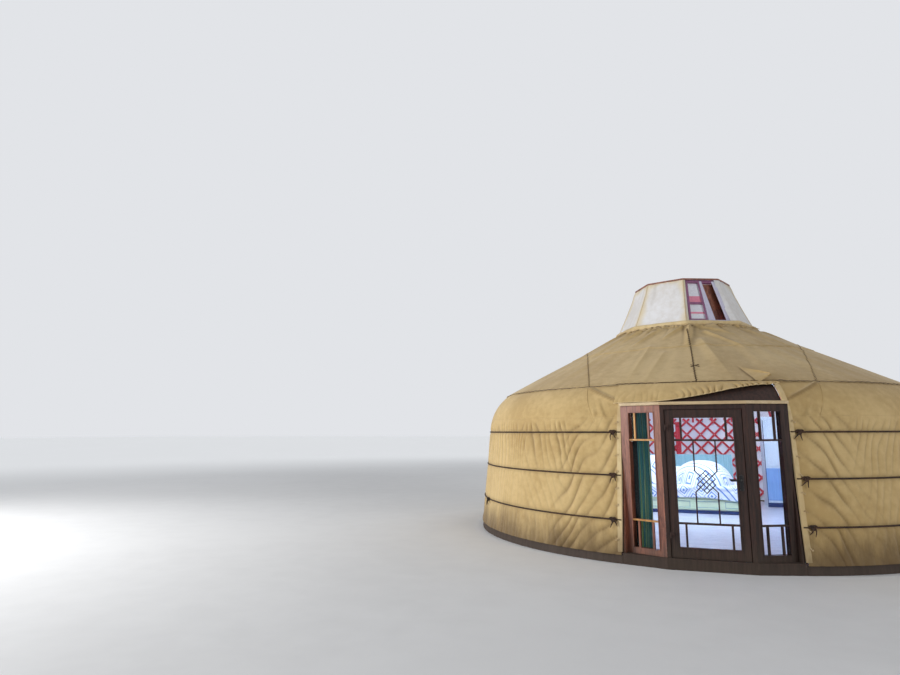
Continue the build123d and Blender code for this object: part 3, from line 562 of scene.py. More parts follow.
@dataclass(frozen=True)
class ClothFinish:
    """A woven cloth."""

    name: str
    light: Colour
    dark: Colour
    threads: float = 320.0
    weave_depth: float = 0.0006  # depth of the weave in metres
    crease: float = 0.0  # how far the painted shade in creases darkens, 0 to 1
    # colour of the painted shade in creases
    crease_shade_colour: Colour = (0.1, 0.06, 0.03, 1)
    dirt_and_shade_height: float = 0.0  # height that dirt, and on the wall canvas painted grass shadow, reaches, or 0 for none
    dirt_and_shade_colour: Colour = (0.1, 0.06, 0.03, 1)
    warm_colour: Colour | None = None  # colour where the points' warmth is 1
    sheen: float = 0.2
    roughness: float = 0.9

    def build(self, effects: Effects) -> bpy.types.Material:
        """Builds the material.

        Args:
            effects: The shared node groups.

        Returns:
            The finished material.
        """
        material, w, shader = start_material(self.name)
        place, cloth = w.place(), w.cloth_map()
        base = w.group(effects.mottle, vector=place, scale=0.9, light=self.light, dark=self.dark)
        colour = base["Color"]
        if self.warm_colour:
            colour = w.mix(w.value("warmth"), colour, self.warm_colour)
        # painted shade: darkens the cloth in its creases and fold valleys, where shade falls
        if self.crease:
            share = w.maths("MULTIPLY", w.value("crease"), self.crease)
            colour = w.mix(share, colour, self.crease_shade_colour)
        # darker towards the bottom: splashed dirt, and on the wall canvas also painted shadow of the grass
        if self.dirt_and_shade_height:
            mask = w.group(effects.dirt_and_shade, vector=place, height=self.dirt_and_shade_height, softness=0.34)["Mask"]
            colour = w.mix(w.maths("MULTIPLY", mask, 0.78), colour, self.dirt_and_shade_colour)
        height = w.group(effects.weave, vector=cloth, threads=self.threads)["Height"]
        slub = w.noise(w.scaled(cloth, (60, 60, 1)), 1.0, 3)
        relief = w.maths("MULTIPLY_ADD", slub, 1.5, height)
        w.feed(shader, {
            "Base Color": colour,
            "Normal": w.bump(relief, self.weave_depth, 0.6),
            "Roughness": self.roughness,
            "Sheen Weight": self.sheen,
        })
        return material


@dataclass(frozen=True)
class WoodFinish:
    """Stained or painted wood."""

    name: str
    light: Colour
    dark: Colour
    worn: Colour
    wear: float = 0.6  # how worn its edges are, 0 to 1
    turn: tuple[float, float, float] = (0, 0, 0)  # turn of the grain, which runs along Z before it
    grain: float = 1.0  # how much the grain shows in the colour, 0 to 1
    roughness: float = 0.42
    coat: float = 0.2
    dirt_and_shade_height: float = 0.0  # height that splashed dirt reaches, or 0 for none

    def build(self, effects: Effects) -> bpy.types.Material:
        """Builds the material.

        Args:
            effects: The shared node groups.

        Returns:
            The finished material.
        """
        material, w, shader = start_material(self.name)
        place = w.place()
        grain = w.group(effects.grain, vector=w.scaled(place, (1, 1, 1), self.turn), scale=1.0)
        share = w.maths("MULTIPLY", w.band(grain["Mask"], 0.25, 0.85), self.grain)
        broad = w.noise(place, 1.7, 3)
        share = w.maths("MULTIPLY_ADD", w.maths("SUBTRACT", broad, 0.5), 0.5, share)
        colour = w.mix(share, self.light, self.dark)
        wear = w.group(effects.wear, vector=place, amount=self.wear)["Mask"]
        colour = w.mix(wear, colour, self.worn)
        if self.dirt_and_shade_height:
            mask = w.group(effects.dirt_and_shade, vector=place, height=self.dirt_and_shade_height, softness=0.3)["Mask"]
            colour = w.mix(w.maths("MULTIPLY", mask, 0.7), colour, paint(62, 50, 38))
        w.feed(shader, {"Base Color": colour})
        rough = w.maths("MULTIPLY_ADD", grain["Mask"], 0.22, self.roughness)
        w.feed(shader, {
            "Roughness": w.maths("MULTIPLY_ADD", wear, 0.3, rough),
            "Normal": w.bump(grain["Height"], 0.0008, 0.5),
            "Coat Weight": self.coat,
            "Coat Roughness": 0.25,
        })
        return material


@dataclass(frozen=True)
class RopeFinish:
    """Fibre of a rope or a lashing."""

    name: str
    light: Colour
    dark: Colour

    def build(self, effects: Effects) -> bpy.types.Material:
        """Builds the material.

        Args:
            effects: The shared node groups.

        Returns:
            The finished material.
        """
        material, w, shader = start_material(self.name)
        place = w.place()
        fibres = w.noise(w.scaled(w.cloth_map(), (30, 500, 1)), 1.0, 3)
        base = w.group(effects.mottle, vector=place, scale=9.0, light=self.light, dark=self.dark)
        colour = w.mix(w.band(fibres, 0.4, 0.75), base["Color"], self.dark)
        w.feed(shader, {
            "Base Color": colour,
            "Normal": w.bump(fibres, 0.0015, 0.7),
            "Roughness": 0.85,
        })
        return material


@dataclass(frozen=True)
class QuiltFinish:
    """White quilt printed with rows of nested squares between blue stripes."""

    name: str = "quilt_print"
    cell: float = 0.22  # width of one square motif in metres
    printed_to: float = 0.78  # how far the print runs up from the front edge
    white: Colour = paint(222, 228, 238)
    blue: Colour = paint(72, 118, 188)

    def build(self, effects: Effects) -> bpy.types.Material:
        """Builds the material.

        Nested squares are a square wave of the larger of |x| and |y| inside each cell, and
        every third row is plain with two stripes.

        Args:
            effects: The shared node groups.

        Returns:
            The finished material.
        """
        material, w, shader = start_material(self.name)
        cloth = w.cloth_map()
        turned_map = w.scaled(cloth, (1 / self.cell, 1 / self.cell, 1), (0, 0, math.radians(38)))
        across, along, _ = w.parts(turned_map)
        inside = []
        for coordinate in (across, along):
            centred = w.maths("SUBTRACT", w.maths("FRACT", coordinate), 0.5)
            inside.append(w.maths("ABSOLUTE", centred))
        square = w.maths("MAXIMUM", *inside)
        rings = w.maths("LESS_THAN", w.maths("FRACT", w.maths("MULTIPLY", square, 5.2)), 0.40)
        outer = w.maths("LESS_THAN", square, 0.42)
        row = w.maths("FRACT", w.maths("DIVIDE", w.maths("FLOOR", along), 3.0))
        printed = w.maths("LESS_THAN", row, 0.6)
        squares = w.maths("MULTIPLY", w.maths("MULTIPLY", rings, outer), printed)
        stripe = w.maths("LESS_THAN", w.maths("ABSOLUTE", w.maths("SUBTRACT", inside[1], 0.22)), 0.06)
        stripes = w.maths("MULTIPLY", stripe, w.maths("SUBTRACT", 1.0, printed))
        _, up, _ = w.parts(cloth)
        on_front = w.band(up, self.printed_to, self.printed_to - 0.2)
        mask = w.maths("MULTIPLY", w.maths("MAXIMUM", squares, stripes), w.maths("MULTIPLY", on_front, 0.9))
        base = w.group(effects.mottle, vector=cloth, scale=3.0, light=self.white, dark=paint(200, 212, 230))
        w.feed(shader, {"Base Color": w.mix(mask, base["Color"], self.blue)})
        height = w.group(effects.weave, vector=cloth, threads=700.0)["Height"]
        w.feed(shader, {
            "Normal": w.bump(height, 0.0004, 0.5),
            "Roughness": 0.85,
            "Sheen Weight": 0.25,
        })
        return material


@dataclass(frozen=True)
class CurtainFinish:
    """Teal curtain with yellow-green streaks along its folds, darkened by painted shade in its folds and at
    its left.
    """

    name: str = "curtain_cloth"
    teal: Colour = paint(44, 108, 110)
    # colour of the painted shade
    painted_shade_colour: Colour = paint(8, 26, 27)
    green: Colour = paint(142, 166, 92)

    def build(self, effects: Effects) -> bpy.types.Material:
        """Builds the material.

        Args:
            effects: The shared node groups.

        Returns:
            The finished material.
        """
        material, w, shader = start_material(self.name)
        cloth = w.cloth_map()
        streaks = w.noise(w.scaled(cloth, (34, 0.5, 1)), 1.0, 3)
        colour = w.mix(w.band(streaks, 0.50, 0.62), self.teal, self.green)
        # painted shade where the curtain's shade value is high
        colour = w.mix(w.value("crease"), colour, self.painted_shade_colour)
        w.feed(shader, {"Base Color": colour})
        height = w.group(effects.weave, vector=cloth, threads=600.0)["Height"]
        w.feed(shader, {
            "Normal": w.bump(height, 0.0004, 0.5),
            "Roughness": 0.7,
            "Sheen Weight": 0.4,
        })
        return material


@dataclass(frozen=True)
class GlassFinish:
    """Clear or milky pane with a few smears."""

    name: str = "pane_glass"
    tint: Colour = (0.93, 0.97, 1.0, 1)  # colour of the light that passes
    clear: float = 1.0  # share of the light that passes
    frost: tuple[float, float] = (0.0, 0.05)  # lowest and highest roughness

    def build(self, effects: Effects) -> bpy.types.Material:
        """Builds the material.

        Args:
            effects: The shared node groups.

        Returns:
            The finished material.
        """
        material, w, shader = start_material(self.name)
        smear = w.group(effects.mottle, vector=w.place(), scale=2.5)["Mask"]
        w.feed(shader, {
            "Roughness": w.band(smear, 0.5, 1.0, *self.frost),
            "Base Color": self.tint,
            "Transmission Weight": self.clear,
            "IOR": 1.10,
        })
        return material


@dataclass(frozen=True)
class MetalFinish:
    """Black satin metal with rubbed places."""

    name: str = "black_satin_metal"
    colour: Colour = paint(30, 30, 32)
    rubbed: Colour = paint(120, 118, 112)

    def build(self, effects: Effects) -> bpy.types.Material:
        """Builds the material.

        Args:
            effects: The shared node groups.

        Returns:
            The finished material.
        """
        material, w, shader = start_material(self.name)
        place = w.place()
        wear = w.group(effects.wear, vector=place, amount=0.8)["Mask"]
        w.feed(shader, {
            "Base Color": w.mix(wear, self.colour, self.rubbed),
            "Roughness": w.maths("MULTIPLY_ADD", w.noise(place, 60.0), 0.25, 0.25),
            "Metallic": w.maths("MULTIPLY_ADD", wear, 0.5, 0.4),
        })
        return material


LEVEL_GRAIN = (0.0, math.radians(90), 0.0)

FINISHES: dict[Finish, object] = {
    # dirt at the canvas's foot also stands for painted shadow of the grass, and its creases carry painted
    # shade
    Finish.CANVAS: ClothFinish(
        "cream_canvas", paint(206, 178, 124), paint(184, 154, 100), crease=0.55,
        crease_shade_colour=paint(96, 70, 36), dirt_and_shade_height=0.42, dirt_and_shade_colour=paint(78, 56, 30),
    ),
    Finish.LANTERN_CLOTH: ClothFinish(
        "lantern_cloth", paint(236, 236, 238), paint(218, 214, 210), threads=420.0,
        crease=0.3, crease_shade_colour=paint(160, 150, 130), warm_colour=paint(220, 200, 152),
    ),
    Finish.FELT: ClothFinish(
        "white_felt_liner", paint(240, 243, 250), paint(222, 226, 238), threads=250.0,
        crease=0.25, crease_shade_colour=paint(170, 176, 196),
    ),
    Finish.EDGE_TAPE: ClothFinish(
        "edge_tape", paint(222, 200, 154), paint(200, 174, 126), threads=500.0,
        dirt_and_shade_height=0.34, dirt_and_shade_colour=paint(96, 74, 48),
    ),
    Finish.SEAM: RopeFinish("seam_cord", paint(96, 74, 44), paint(58, 42, 24)),
    Finish.RED_WOOD: WoodFinish(
        "red_lattice_wood", paint(212, 76, 86), paint(178, 44, 56), paint(228, 140, 132), grain=0.7,
    ),
    Finish.BAY_WOOD: WoodFinish(
        "red_brown_wood", paint(150, 88, 62), paint(88, 42, 28), paint(178, 124, 90), dirt_and_shade_height=0.3,
    ),
    # painted shade: the red-brown bay wood as it looks in shadow
    Finish.PAINTED_SHADE_WOOD: WoodFinish(
        "painted_shade_bay_wood", paint(56, 31, 22), paint(28, 15, 10), paint(92, 56, 38), roughness=0.62, coat=0.0,
        dirt_and_shade_height=0.26,
    ),
    # painted highlight: the bay wood as it looks where the light catches it
    Finish.PAINTED_HIGHLIGHT_WOOD: WoodFinish(
        "painted_highlight_wood", paint(206, 152, 74), paint(150, 96, 38), paint(226, 186, 120),
    ),
    Finish.CREAM_PAINT: WoodFinish(
        "cream_paint", paint(206, 182, 142), paint(168, 140, 100), paint(120, 84, 52),
        turn=LEVEL_GRAIN, grain=0.6, coat=0.1,
    ),
    Finish.WHITE_PAINT: WoodFinish(
        "white_paint", paint(206, 204, 224), paint(178, 174, 200), paint(140, 112, 96), grain=0.5,
    ),
    Finish.GREEN_PAINT: WoodFinish(
        "pale_green_paint", paint(206, 222, 196), paint(178, 202, 172), paint(128, 112, 80),
        turn=LEVEL_GRAIN, grain=0.5,
    ),
    Finish.BLUE_PAINT: WoodFinish(
        "dark_blue_paint", paint(44, 66, 118), paint(24, 38, 78), paint(120, 130, 150), turn=LEVEL_GRAIN,
    ),
    Finish.PALE_PAINT: WoodFinish(
        "pale_blue_paint", paint(206, 222, 236), paint(168, 192, 216), paint(130, 120, 110), grain=0.5,
    ),
    Finish.TEAL_PAINT: WoodFinish(
        "teal_grey_paint", paint(138, 176, 188), paint(106, 150, 166), paint(160, 160, 150), grain=0.6,
    ),
    Finish.SKY_PAINT: WoodFinish(
        "sky_blue_paint", paint(132, 172, 224), paint(100, 144, 206), paint(150, 160, 180), grain=0.5,
    ),
    Finish.ROSE_PAINT: WoodFinish(
        "faded_rose_paint", paint(232, 144, 168), paint(214, 116, 144), paint(236, 186, 194), grain=0.5,
    ),
    Finish.BOARDS: WoodFinish(
        "pale_floor_boards", paint(206, 212, 226), paint(164, 172, 196), paint(120, 104, 90),
        turn=LEVEL_GRAIN, grain=0.8, roughness=0.2, coat=0.5,
    ),
    Finish.ROPE: RopeFinish("dark_rope", paint(78, 52, 34), paint(34, 22, 14)),
    Finish.LASHING: RopeFinish("pale_lashing", paint(226, 206, 166), paint(160, 130, 92)),
    Finish.GLASS: GlassFinish(),
    Finish.MILK_GLASS: GlassFinish("milk_glass", (0.92, 0.93, 1.0, 1), 0.08, (0.25, 0.4)),
    Finish.BLACK_METAL: MetalFinish(),
    Finish.PLUM_PAINT: WoodFinish(
        "plum_paint", paint(142, 88, 126), paint(110, 60, 94), paint(176, 136, 150), grain=0.6,
    ),
    Finish.QUILT: QuiltFinish(),
    Finish.LINEN: ClothFinish("white_linen", paint(244, 246, 250), paint(224, 230, 240), threads=700.0),
    Finish.CURTAIN: CurtainFinish(),
}


class Workshop:
    """Builds the materials once and turns shapes into dressed objects on their bodies."""

    def __init__(self) -> None:
        """Builds every finish."""
        effects = Effects()
        self.materials = {key: finish.build(effects) for key, finish in FINISHES.items()}

    def make(
        self,
        name: str,
        shape: Shape,
        finish: Finish,
        body: Body = Body.YURT,
        replaces: Sequence[str] = (),
        smooth: bool = True,
        bevel: float = 0.0,
        solid: bool = False,
        facing: Sequence[float] | None = None,
    ) -> bpy.types.Object:
        """Makes a dressed object of a shape.

        Args:
            name: Name of the piece.
            shape: Its points and faces.
            finish: Its finish.
            body: The body that it rides on.
            replaces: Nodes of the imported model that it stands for.
            smooth: Whether its faces are shaded smooth.
            bevel: Width of the rounding of its edges, or 0 for none.
            solid: Whether it is closed, so that its faces can be turned outwards.
            facing: A point that the faces of an open sheet look away from.

        Returns:
            The new object.
        """
        mesh = bpy.data.meshes.new(name)
        mesh.vertices.add(len(shape.points))
        mesh.vertices.foreach_set("co", shape.points.astype(np.float32).ravel())
        loops = np.concatenate([face.ravel() for face in shape.faces])
        counts = np.concatenate([np.full(len(face), face.shape[1]) for face in shape.faces])
        mesh.loops.add(len(loops))
        mesh.loops.foreach_set("vertex_index", loops.astype(np.int32))
        mesh.polygons.add(len(counts))
        starts = np.concatenate([[0], np.cumsum(counts)[:-1]])
        mesh.polygons.foreach_set("loop_start", starts.astype(np.int32))
        cloth = mesh.uv_layers.new(name="Cloth")
        flat_map = np.concatenate([part.reshape(-1, 2) for part in shape.maps])
        cloth.data.foreach_set("uv", flat_map.astype(np.float32).ravel())
        for label, numbers in shape.values.items():
            attribute = mesh.attributes.new(label, "FLOAT", "POINT")
            attribute.data.foreach_set("value", numbers.astype(np.float32))
        mesh.update(calc_edges=True)
        if solid:
            self.turn_outwards(mesh)
        if facing is not None:
            self.turn_away(mesh, np.array(facing))
        mesh.polygons.foreach_set("use_smooth", np.full(len(counts), smooth))
        mesh.validate()
        piece = bpy.data.objects.new(name, mesh)
        bpy.context.scene.collection.objects.link(piece)
        if bevel:
            self.round_edges(piece, bevel)
        return self.dress(piece, finish, body, replaces)

    @staticmethod
    def turn_outwards(mesh: bpy.types.Mesh) -> None:
        """Turns the faces of closed shells outwards."""
        work = bmesh.new()
        work.from_mesh(mesh)
        bmesh.ops.recalc_face_normals(work, faces=work.faces)
        work.to_mesh(mesh)
        work.free()

    @staticmethod
    def turn_away(mesh: bpy.types.Mesh, point: Array) -> None:
        """Turns an open sheet's faces away from a point, by the sum of their outward shares."""
        centres = np.zeros(len(mesh.polygons) * 3)
        normals = np.zeros(len(mesh.polygons) * 3)
        mesh.polygons.foreach_get("center", centres)
        mesh.polygons.foreach_get("normal", normals)
        outward = (centres.reshape(-1, 3) - point) * normals.reshape(-1, 3)
        if outward.sum() < 0:
            mesh.flip_normals()

    @staticmethod
    def round_edges(piece: bpy.types.Object, width: float) -> None:
        """Rounds the sharp edges of a piece."""
        rounding = piece.modifiers.new("rounding", "BEVEL")
        rounding.width = width
        rounding.segments = 2
        rounding.limit_method = "ANGLE"
        rounding.angle_limit = math.radians(35)

    def dress(
        self,
        piece: bpy.types.Object,
        finish: Finish,
        body: Body = Body.YURT,
        replaces: Sequence[str] = (),
    ) -> bpy.types.Object:
        """Gives a piece its finish and its body, and hides the nodes that it stands for."""
        piece.data.materials.clear()
        piece.data.materials.append(self.materials[finish])
        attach(piece, body.value)
        if replaces:
            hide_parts(*replaces)
        log.info("%s: %d faces on %s", piece.name, len(piece.data.polygons), body.value)
        return piece

    def joinery(
        self,
        name: str,
        shapes: Iterable[Shape],
        finish: Finish,
        bevel: float = 0.002,
        body: Body = Body.YURT,
        replaces: Sequence[str] = (),
    ) -> None:
        """Makes one flat-shaded solid of bars, with the arguments of make."""
        self.make(name, join(shapes), finish, body, replaces, smooth=False, bevel=bevel, solid=True)

    def cords(
        self,
        name: str,
        shapes: Iterable[Shape],
        finish: Finish,
        replaces: Sequence[str] = (),
    ) -> None:
        """Makes one smooth solid of cords, welts or rolls, with the arguments of make."""
        self.make(name, join(shapes), finish, replaces=replaces, solid=True)

    def cloth(
        self, name: str, shape: Shape, finish: Finish = Finish.CANVAS, replaces: Sequence[str] = ()
    ) -> bpy.types.Object:
        """Makes an open sheet of the tent's cover that looks away from the middle of the room."""
        return self.make(name, shape, finish, replaces=replaces, facing=(0, 0, 0.9))

    def copy_node(
        self, node: str, finish: Finish, bevel: float, body: Body = Body.YURT
    ) -> bpy.types.Object:
        """Stands a copy of a node, with merged points and rounded edges, in the node's place.

        Args:
            node: Name of the node.
            finish: Its finish.
            bevel: Width of the rounding.
            body: The body that it rides on.

        Returns:
            The copy.
        """
        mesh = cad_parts[node].data.copy()
        work = bmesh.new()
        work.from_mesh(mesh)
        bmesh.ops.remove_doubles(work, verts=work.verts, dist=2e-5)
        bmesh.ops.dissolve_limit(
            work, angle_limit=math.radians(0.6), verts=work.verts, edges=work.edges, delimit={"NORMAL"}
        )
        work.to_mesh(mesh)
        work.free()
        mesh.polygons.foreach_set("use_smooth", np.zeros(len(mesh.polygons), bool))
        piece = bpy.data.objects.new(f"{node}_dressed", mesh)
        bpy.context.scene.collection.objects.link(piece)
        self.round_edges(piece, bevel)
        return self.dress(piece, finish, body, [node])

    def finish_node(self, node: str, finish: Finish) -> None:
        """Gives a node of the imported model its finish."""
        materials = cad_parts[node].data.materials
        materials.clear()
        materials.append(self.materials[finish])
        log.info("%s keeps its own shape", node)


@dataclass(frozen=True)
class TentShape:
    """The outer surface: a leaning wall, a round shoulder and a straight roof slope."""

    foot_radius: float = 3.375  # radius of the wall at the ground
    lean: float = math.radians(5.71)  # lean of the wall in radians
    shoulder_radius: float = 0.700  # radius of the shoulder's arc
    shoulder_height: float = 1.4873  # height of the arc's centre
    pitch: float = math.radians(27.42)
    bay_half: float = 16.0  # half the angle of the door bay in degrees
    eave_radius: float = 2.93  # radius of the seam round the eaves

    @property
    def centre_radius(self) -> float:
        """Radius of the centre of the shoulder's arc."""
        inset = self.shoulder_radius / math.cos(self.lean)
        return self.foot_radius - self.shoulder_height * math.tan(self.lean) - inset

    @property
    def wall_length(self) -> float:
        """Length of the straight wall along its slope."""
        top = self.shoulder_height + self.shoulder_radius * math.sin(self.lean)
        return top / math.cos(self.lean)

    @property
    def arc_length(self) -> float:
        """Length of the shoulder's arc."""
        return self.shoulder_radius * (math.pi / 2 - self.pitch - self.lean)

    @property
    def roof_start(self) -> float:
        """Radius where the roof slope starts."""
        return self.centre_radius + self.shoulder_radius * math.sin(self.pitch)

    def section(self, length: Array) -> tuple[Array, Array, Array, Array]:
        """Radius, height and outward direction at lengths from the ground, up the surface.

        The wall is a straight line, the shoulder an arc whose angle grows with length, and the
        roof a straight line again, all joined smoothly.
        """
        s = np.asarray(length, float)
        angle = self.lean + np.clip(s - self.wall_length, 0, self.arc_length) / self.shoulder_radius
        on_wall = np.minimum(s, self.wall_length) - self.wall_length
        on_roof = np.maximum(s - self.wall_length - self.arc_length, 0)
        radius = self.centre_radius + self.shoulder_radius * np.cos(angle)
        height = self.shoulder_height + self.shoulder_radius * np.sin(angle)
        radius = radius - on_wall * math.sin(self.lean) - on_roof * math.cos(self.pitch)
        height = height + on_wall * math.cos(self.lean) + on_roof * math.sin(self.pitch)
        return radius, height, np.cos(angle), np.sin(angle)

    def place(self, azimuth: Array, length: Array, out: Array = 0.0) -> Array:
        """Points of the surface at azimuths in degrees and lengths up it, moved out of it."""
        radius, height, level, rise = self.section(length)
        reach = radius + out * level
        angle = np.radians(azimuth)
        parts = np.broadcast_arrays(reach * np.sin(angle), -reach * np.cos(angle), height + out * rise)
        return np.stack(parts, -1)

    def normal(self, azimuth: Array, length: Array) -> Array:
        """Outward directions of the surface."""
        _, _, level, rise = self.section(length)
        angle = np.radians(azimuth)
        parts = np.broadcast_arrays(level * np.sin(angle), -level * np.cos(angle), rise)
        return np.stack(parts, -1)

    def run(self, profile: Array, azimuth: Array, length: Array, out: Array = 0.0) -> Shape:
        """A profile carried along a line of the surface, at a distance out of it."""
        return sweep(profile, self.place(azimuth, length, out), self.normal(azimuth, length))

    def at_height(self, height: Array) -> Array:
        """Length up the wall or the shoulder to a height."""
        height = np.asarray(height, float)
        share = np.clip((height - self.shoulder_height) / self.shoulder_radius, -1, 1)
        on_arc = self.wall_length + (np.arcsin(share) - self.lean) * self.shoulder_radius
        on_wall = height / math.cos(self.lean)
        return np.where(on_wall < self.wall_length, on_wall, on_arc)

    def at_radius(self, radius: Array) -> Array:
        """Length up the shoulder or the roof to a radius."""
        radius = np.asarray(radius, float)
        share = np.clip((radius - self.centre_radius) / self.shoulder_radius, -1, 1)
        on_arc = self.wall_length + (np.arccos(share) - self.lean) * self.shoulder_radius
        on_roof = self.wall_length + self.arc_length + (self.roof_start - radius) / math.cos(self.pitch)
        return np.where(radius < self.roof_start, on_roof, on_arc)

    def area(self, degrees: float, low: float, high: float) -> float:
        """Area of a part of the surface: the sum of radius times steps of length and angle."""
        steps = np.linspace(low, high, 400)
        radius = self.section(steps)[0]
        return float(radius.mean() * (high - low) * math.radians(degrees))


@dataclass
class WallCloth:
    """Canvas of the wall and the shoulder, in two halves that meet at the back."""

    tent: TentShape
    rope_heights: tuple[float, ...] = (0.48, 0.98, 1.48)  # heights of the ropes that pinch the canvas
    edge_angle: float = 16.2  # azimuth of the canvas's edge beside the door
    foot: float = 0.098  # height of its lower edge
    gather_top: float = 1.66  # height where the gathers start
    lap_azimuth: float = -61.5  # azimuth of the upright edge that lies over the next width
    mean_radius: float = 3.3  # radius that turns an angle into a distance along the wall
    columns: int = 740
    rows: int = 98

    def reach(self, azimuth: Array) -> Array:
        """Distance along the wall from the edge beside the door."""
        around = np.abs((np.asarray(azimuth, float) + 180) % 360 - 180)
        return np.radians(around - self.edge_angle) * self.mean_radius

    def pinch(self, height: Array) -> Array:
        """How tightly the ropes hold the canvas at a height, 0 to 1."""
        return sum(bell(height, rope, 0.030) for rope in self.rope_heights)

    def folds(self, azimuth: Array, height: Array) -> tuple[Array, Array]:
        """Relief of the folds and the painted shade in their valleys.

        Near the door the canvas is pulled into slanting folds; further on the gathers slant the
        other way, and beyond they hang straight. Each kind is a gather whose phase runs across
        its folds, bent by noise.

        Args:
            azimuth: Azimuths in degrees.
            height: Heights in metres.

        Returns:
            The outward relief in metres and the painted shade in the creases, 0 to 1.
        """
        reach = self.reach(azimuth)
        side = np.where(np.sin(np.radians(azimuth)) < 0, 0, 40)
        tier = sum(smooth_step(rope - 0.03, rope + 0.03, height) for rope in self.rope_heights)
        bend = noise(11, reach / 0.5 + side, height / 0.6)
        bend = bend + 0.8 * noise(15, reach / 0.26 + side, tier * 2.3)
        ripple = noise(12, reach / 0.17 + side, height / 0.45)
        patch = smooth_step(-0.5, 0.5, noise(13, reach / 0.36 + side, height / 0.8))
        fine = smooth_step(-0.4, 0.5, noise(14, reach / 0.22 + side, height / 0.5))
        pulled = smooth_step(0.98, 0.62, reach + 0.22 * (height - 1.0))
        slanted = smooth_step(0.55, 0.85, reach) * smooth_step(1.75, 1.35, reach)
        straight = smooth_step(1.25, 1.75, reach)
        starts = smooth_step(self.gather_top + 0.05 * ripple, self.gather_top - 0.12, height)
        pull_start = smooth_step(self.gather_top + 0.12, self.gather_top - 0.10, height)
        pull = gather((0.80 * reach + 0.60 * height) / 0.150 + 0.6 * bend + 0.25 * ripple, 0.7)
        slant = gather((0.93 * reach - 0.36 * height) / 0.105 + 0.6 * bend + 0.45 * ripple)
        hang = gather(reach / 0.100 + 0.9 * bend + 0.5 * ripple)
        upper = 0.5 + 0.5 * smooth_step(0.9, 1.4, height)
        kinds = (
            (pull, pulled * pull_start * (0.3 + 0.7 * patch), 0.028, 1.0),
            (slant, slanted * starts * upper * (0.42 + 0.58 * patch * fine), 0.029, 1.0),
            (hang, straight * starts * upper * (0.35 + 0.65 * patch * fine), 0.022, 0.9),
        )
        relief = sum(depth * strength * (fold - 0.6) for fold, strength, depth, _ in kinds)
        # painted shade: darkest in the narrow valleys of each kind of fold
        crease = sum(shade * strength * (1 - fold) ** 2 for fold, strength, _, shade in kinds)
        return relief, np.clip(1.35 * crease, 0, 1)

    def corner_folds(self, azimuth: Array, height: Array) -> Array:
        """Crumples at the door's upper corner and the gusset's ridge down to it."""
        reach = self.reach(azimuth)
        near = bell(reach, 0.28, 0.24) * bell(height, 1.72, 0.14)
        crumple = 0.020 * near * noise(21, (reach - 0.6 * height) / 0.06, (reach + height) / 0.16)
        share = np.clip(reach / 0.52, 0, 1)
        ridge_height = 1.83 + 0.20 * share
        ridge = 0.028 * np.exp(-(((height - ridge_height) / 0.014) ** 2)) * smooth_step(0.62, 0.5, reach)
        below = -0.012 * smooth_step(0.0, -0.05, height - ridge_height) * smooth_step(0.6, 0.4, reach)
        return crumple + ridge + below * smooth_step(1.55, 1.7, height)

    def out(self, azimuth: Array, length: Array) -> tuple[Array, Array]:
        """Outward relief and painted shade at azimuths and lengths up the surface."""
        azimuth, length = np.broadcast_arrays(np.asarray(azimuth, float), np.asarray(length, float))
        height = self.tent.section(length)[1]
        relief, crease = self.folds(azimuth, height)
        pinch = self.pinch(height)
        relief = relief * (1 - 0.65 * pinch) - 0.008 * pinch
        reach = self.reach(azimuth)
        relief += 0.004 * noise(31, reach / 0.7, height / 0.5)
        relief += self.corner_folds(azimuth, height)
        # near its edge the canvas lies flat under the strip, and one upright edge lies over the next width
        relief *= 0.25 + 0.75 * smooth_step(0.03, 0.12, reach)
        from_lap = np.where(azimuth > 180, azimuth - 360, azimuth) - self.lap_azimuth
        across = np.radians(from_lap) * self.mean_radius
        relief += 0.007 * smooth_step(-0.006, 0.006, across) * smooth_step(0.30, 0.02, across)
        lap = bell(across, -0.008, 0.014) * smooth_step(0.40, 0.52, height)
        lap = lap * smooth_step(1.06, 0.94, height)
        flare = smooth_step(0.24, 0.09, height)
        relief += flare * (0.008 + 0.010 * (gather(reach / 0.16 + 0.6 * noise(32, reach / 0.4, 0.0)) - 0.5))
        # painted shade under the ropes and along the lapped edge
        crease = crease * (1 - 0.3 * pinch) + 0.5 * pinch + 1.2 * lap
        # painted shade under the gusset's ridge
        gusset = bell(height - 0.38 * reach, 1.822, 0.016) * smooth_step(0.66, 0.5, reach)
        crease += 1.1 * gusset
        return np.maximum(relief - 0.002, -0.013), np.clip(crease, 0, 1)

    def half(self, first: float, last: float) -> Shape:
        """One half of the canvas, between two azimuths, denser towards the door."""
        share = np.linspace(0, 1, self.columns)
        door_first = first < 180
        eased = share + 0.12 * np.sin(np.pi * share) * (-1 if door_first else 1) * (1 - share * (1 - share))
        eased = (eased - eased[0]) / (eased[-1] - eased[0])
        azimuth = first + (last - first) * eased
        low = self.tent.at_height(self.foot)
        high = self.tent.at_radius(self.tent.eave_radius - 0.02)
        length = np.linspace(low, high, self.rows)
        columns, rows = np.meshgrid(azimuth, length, indexing="ij")
        relief, crease = self.out(columns, rows)
        return grid(self.tent.place(columns, rows, relief), crease=crease)

    def build(self, shop: Workshop) -> None:
        """Args:
            shop: The workshop that makes the pieces.
        """
        low = float(self.tent.at_height(self.foot))
        high = float(self.tent.at_radius(self.tent.eave_radius))
        span = 180 - self.edge_angle
        halves = (
            ("right", self.edge_angle, 180.0, (1, 2, 3)),
            ("left", 180.0, 360 - self.edge_angle, (4, 5, 6)),
        )
        for name, first, last, covers in halves:
            nodes = [f"wall_cover_{index}" for index in covers]
            piece = shop.cloth(f"wall_canvas_{name}", self.half(first, last), replaces=nodes)
            self.tent.area(span, low, high)


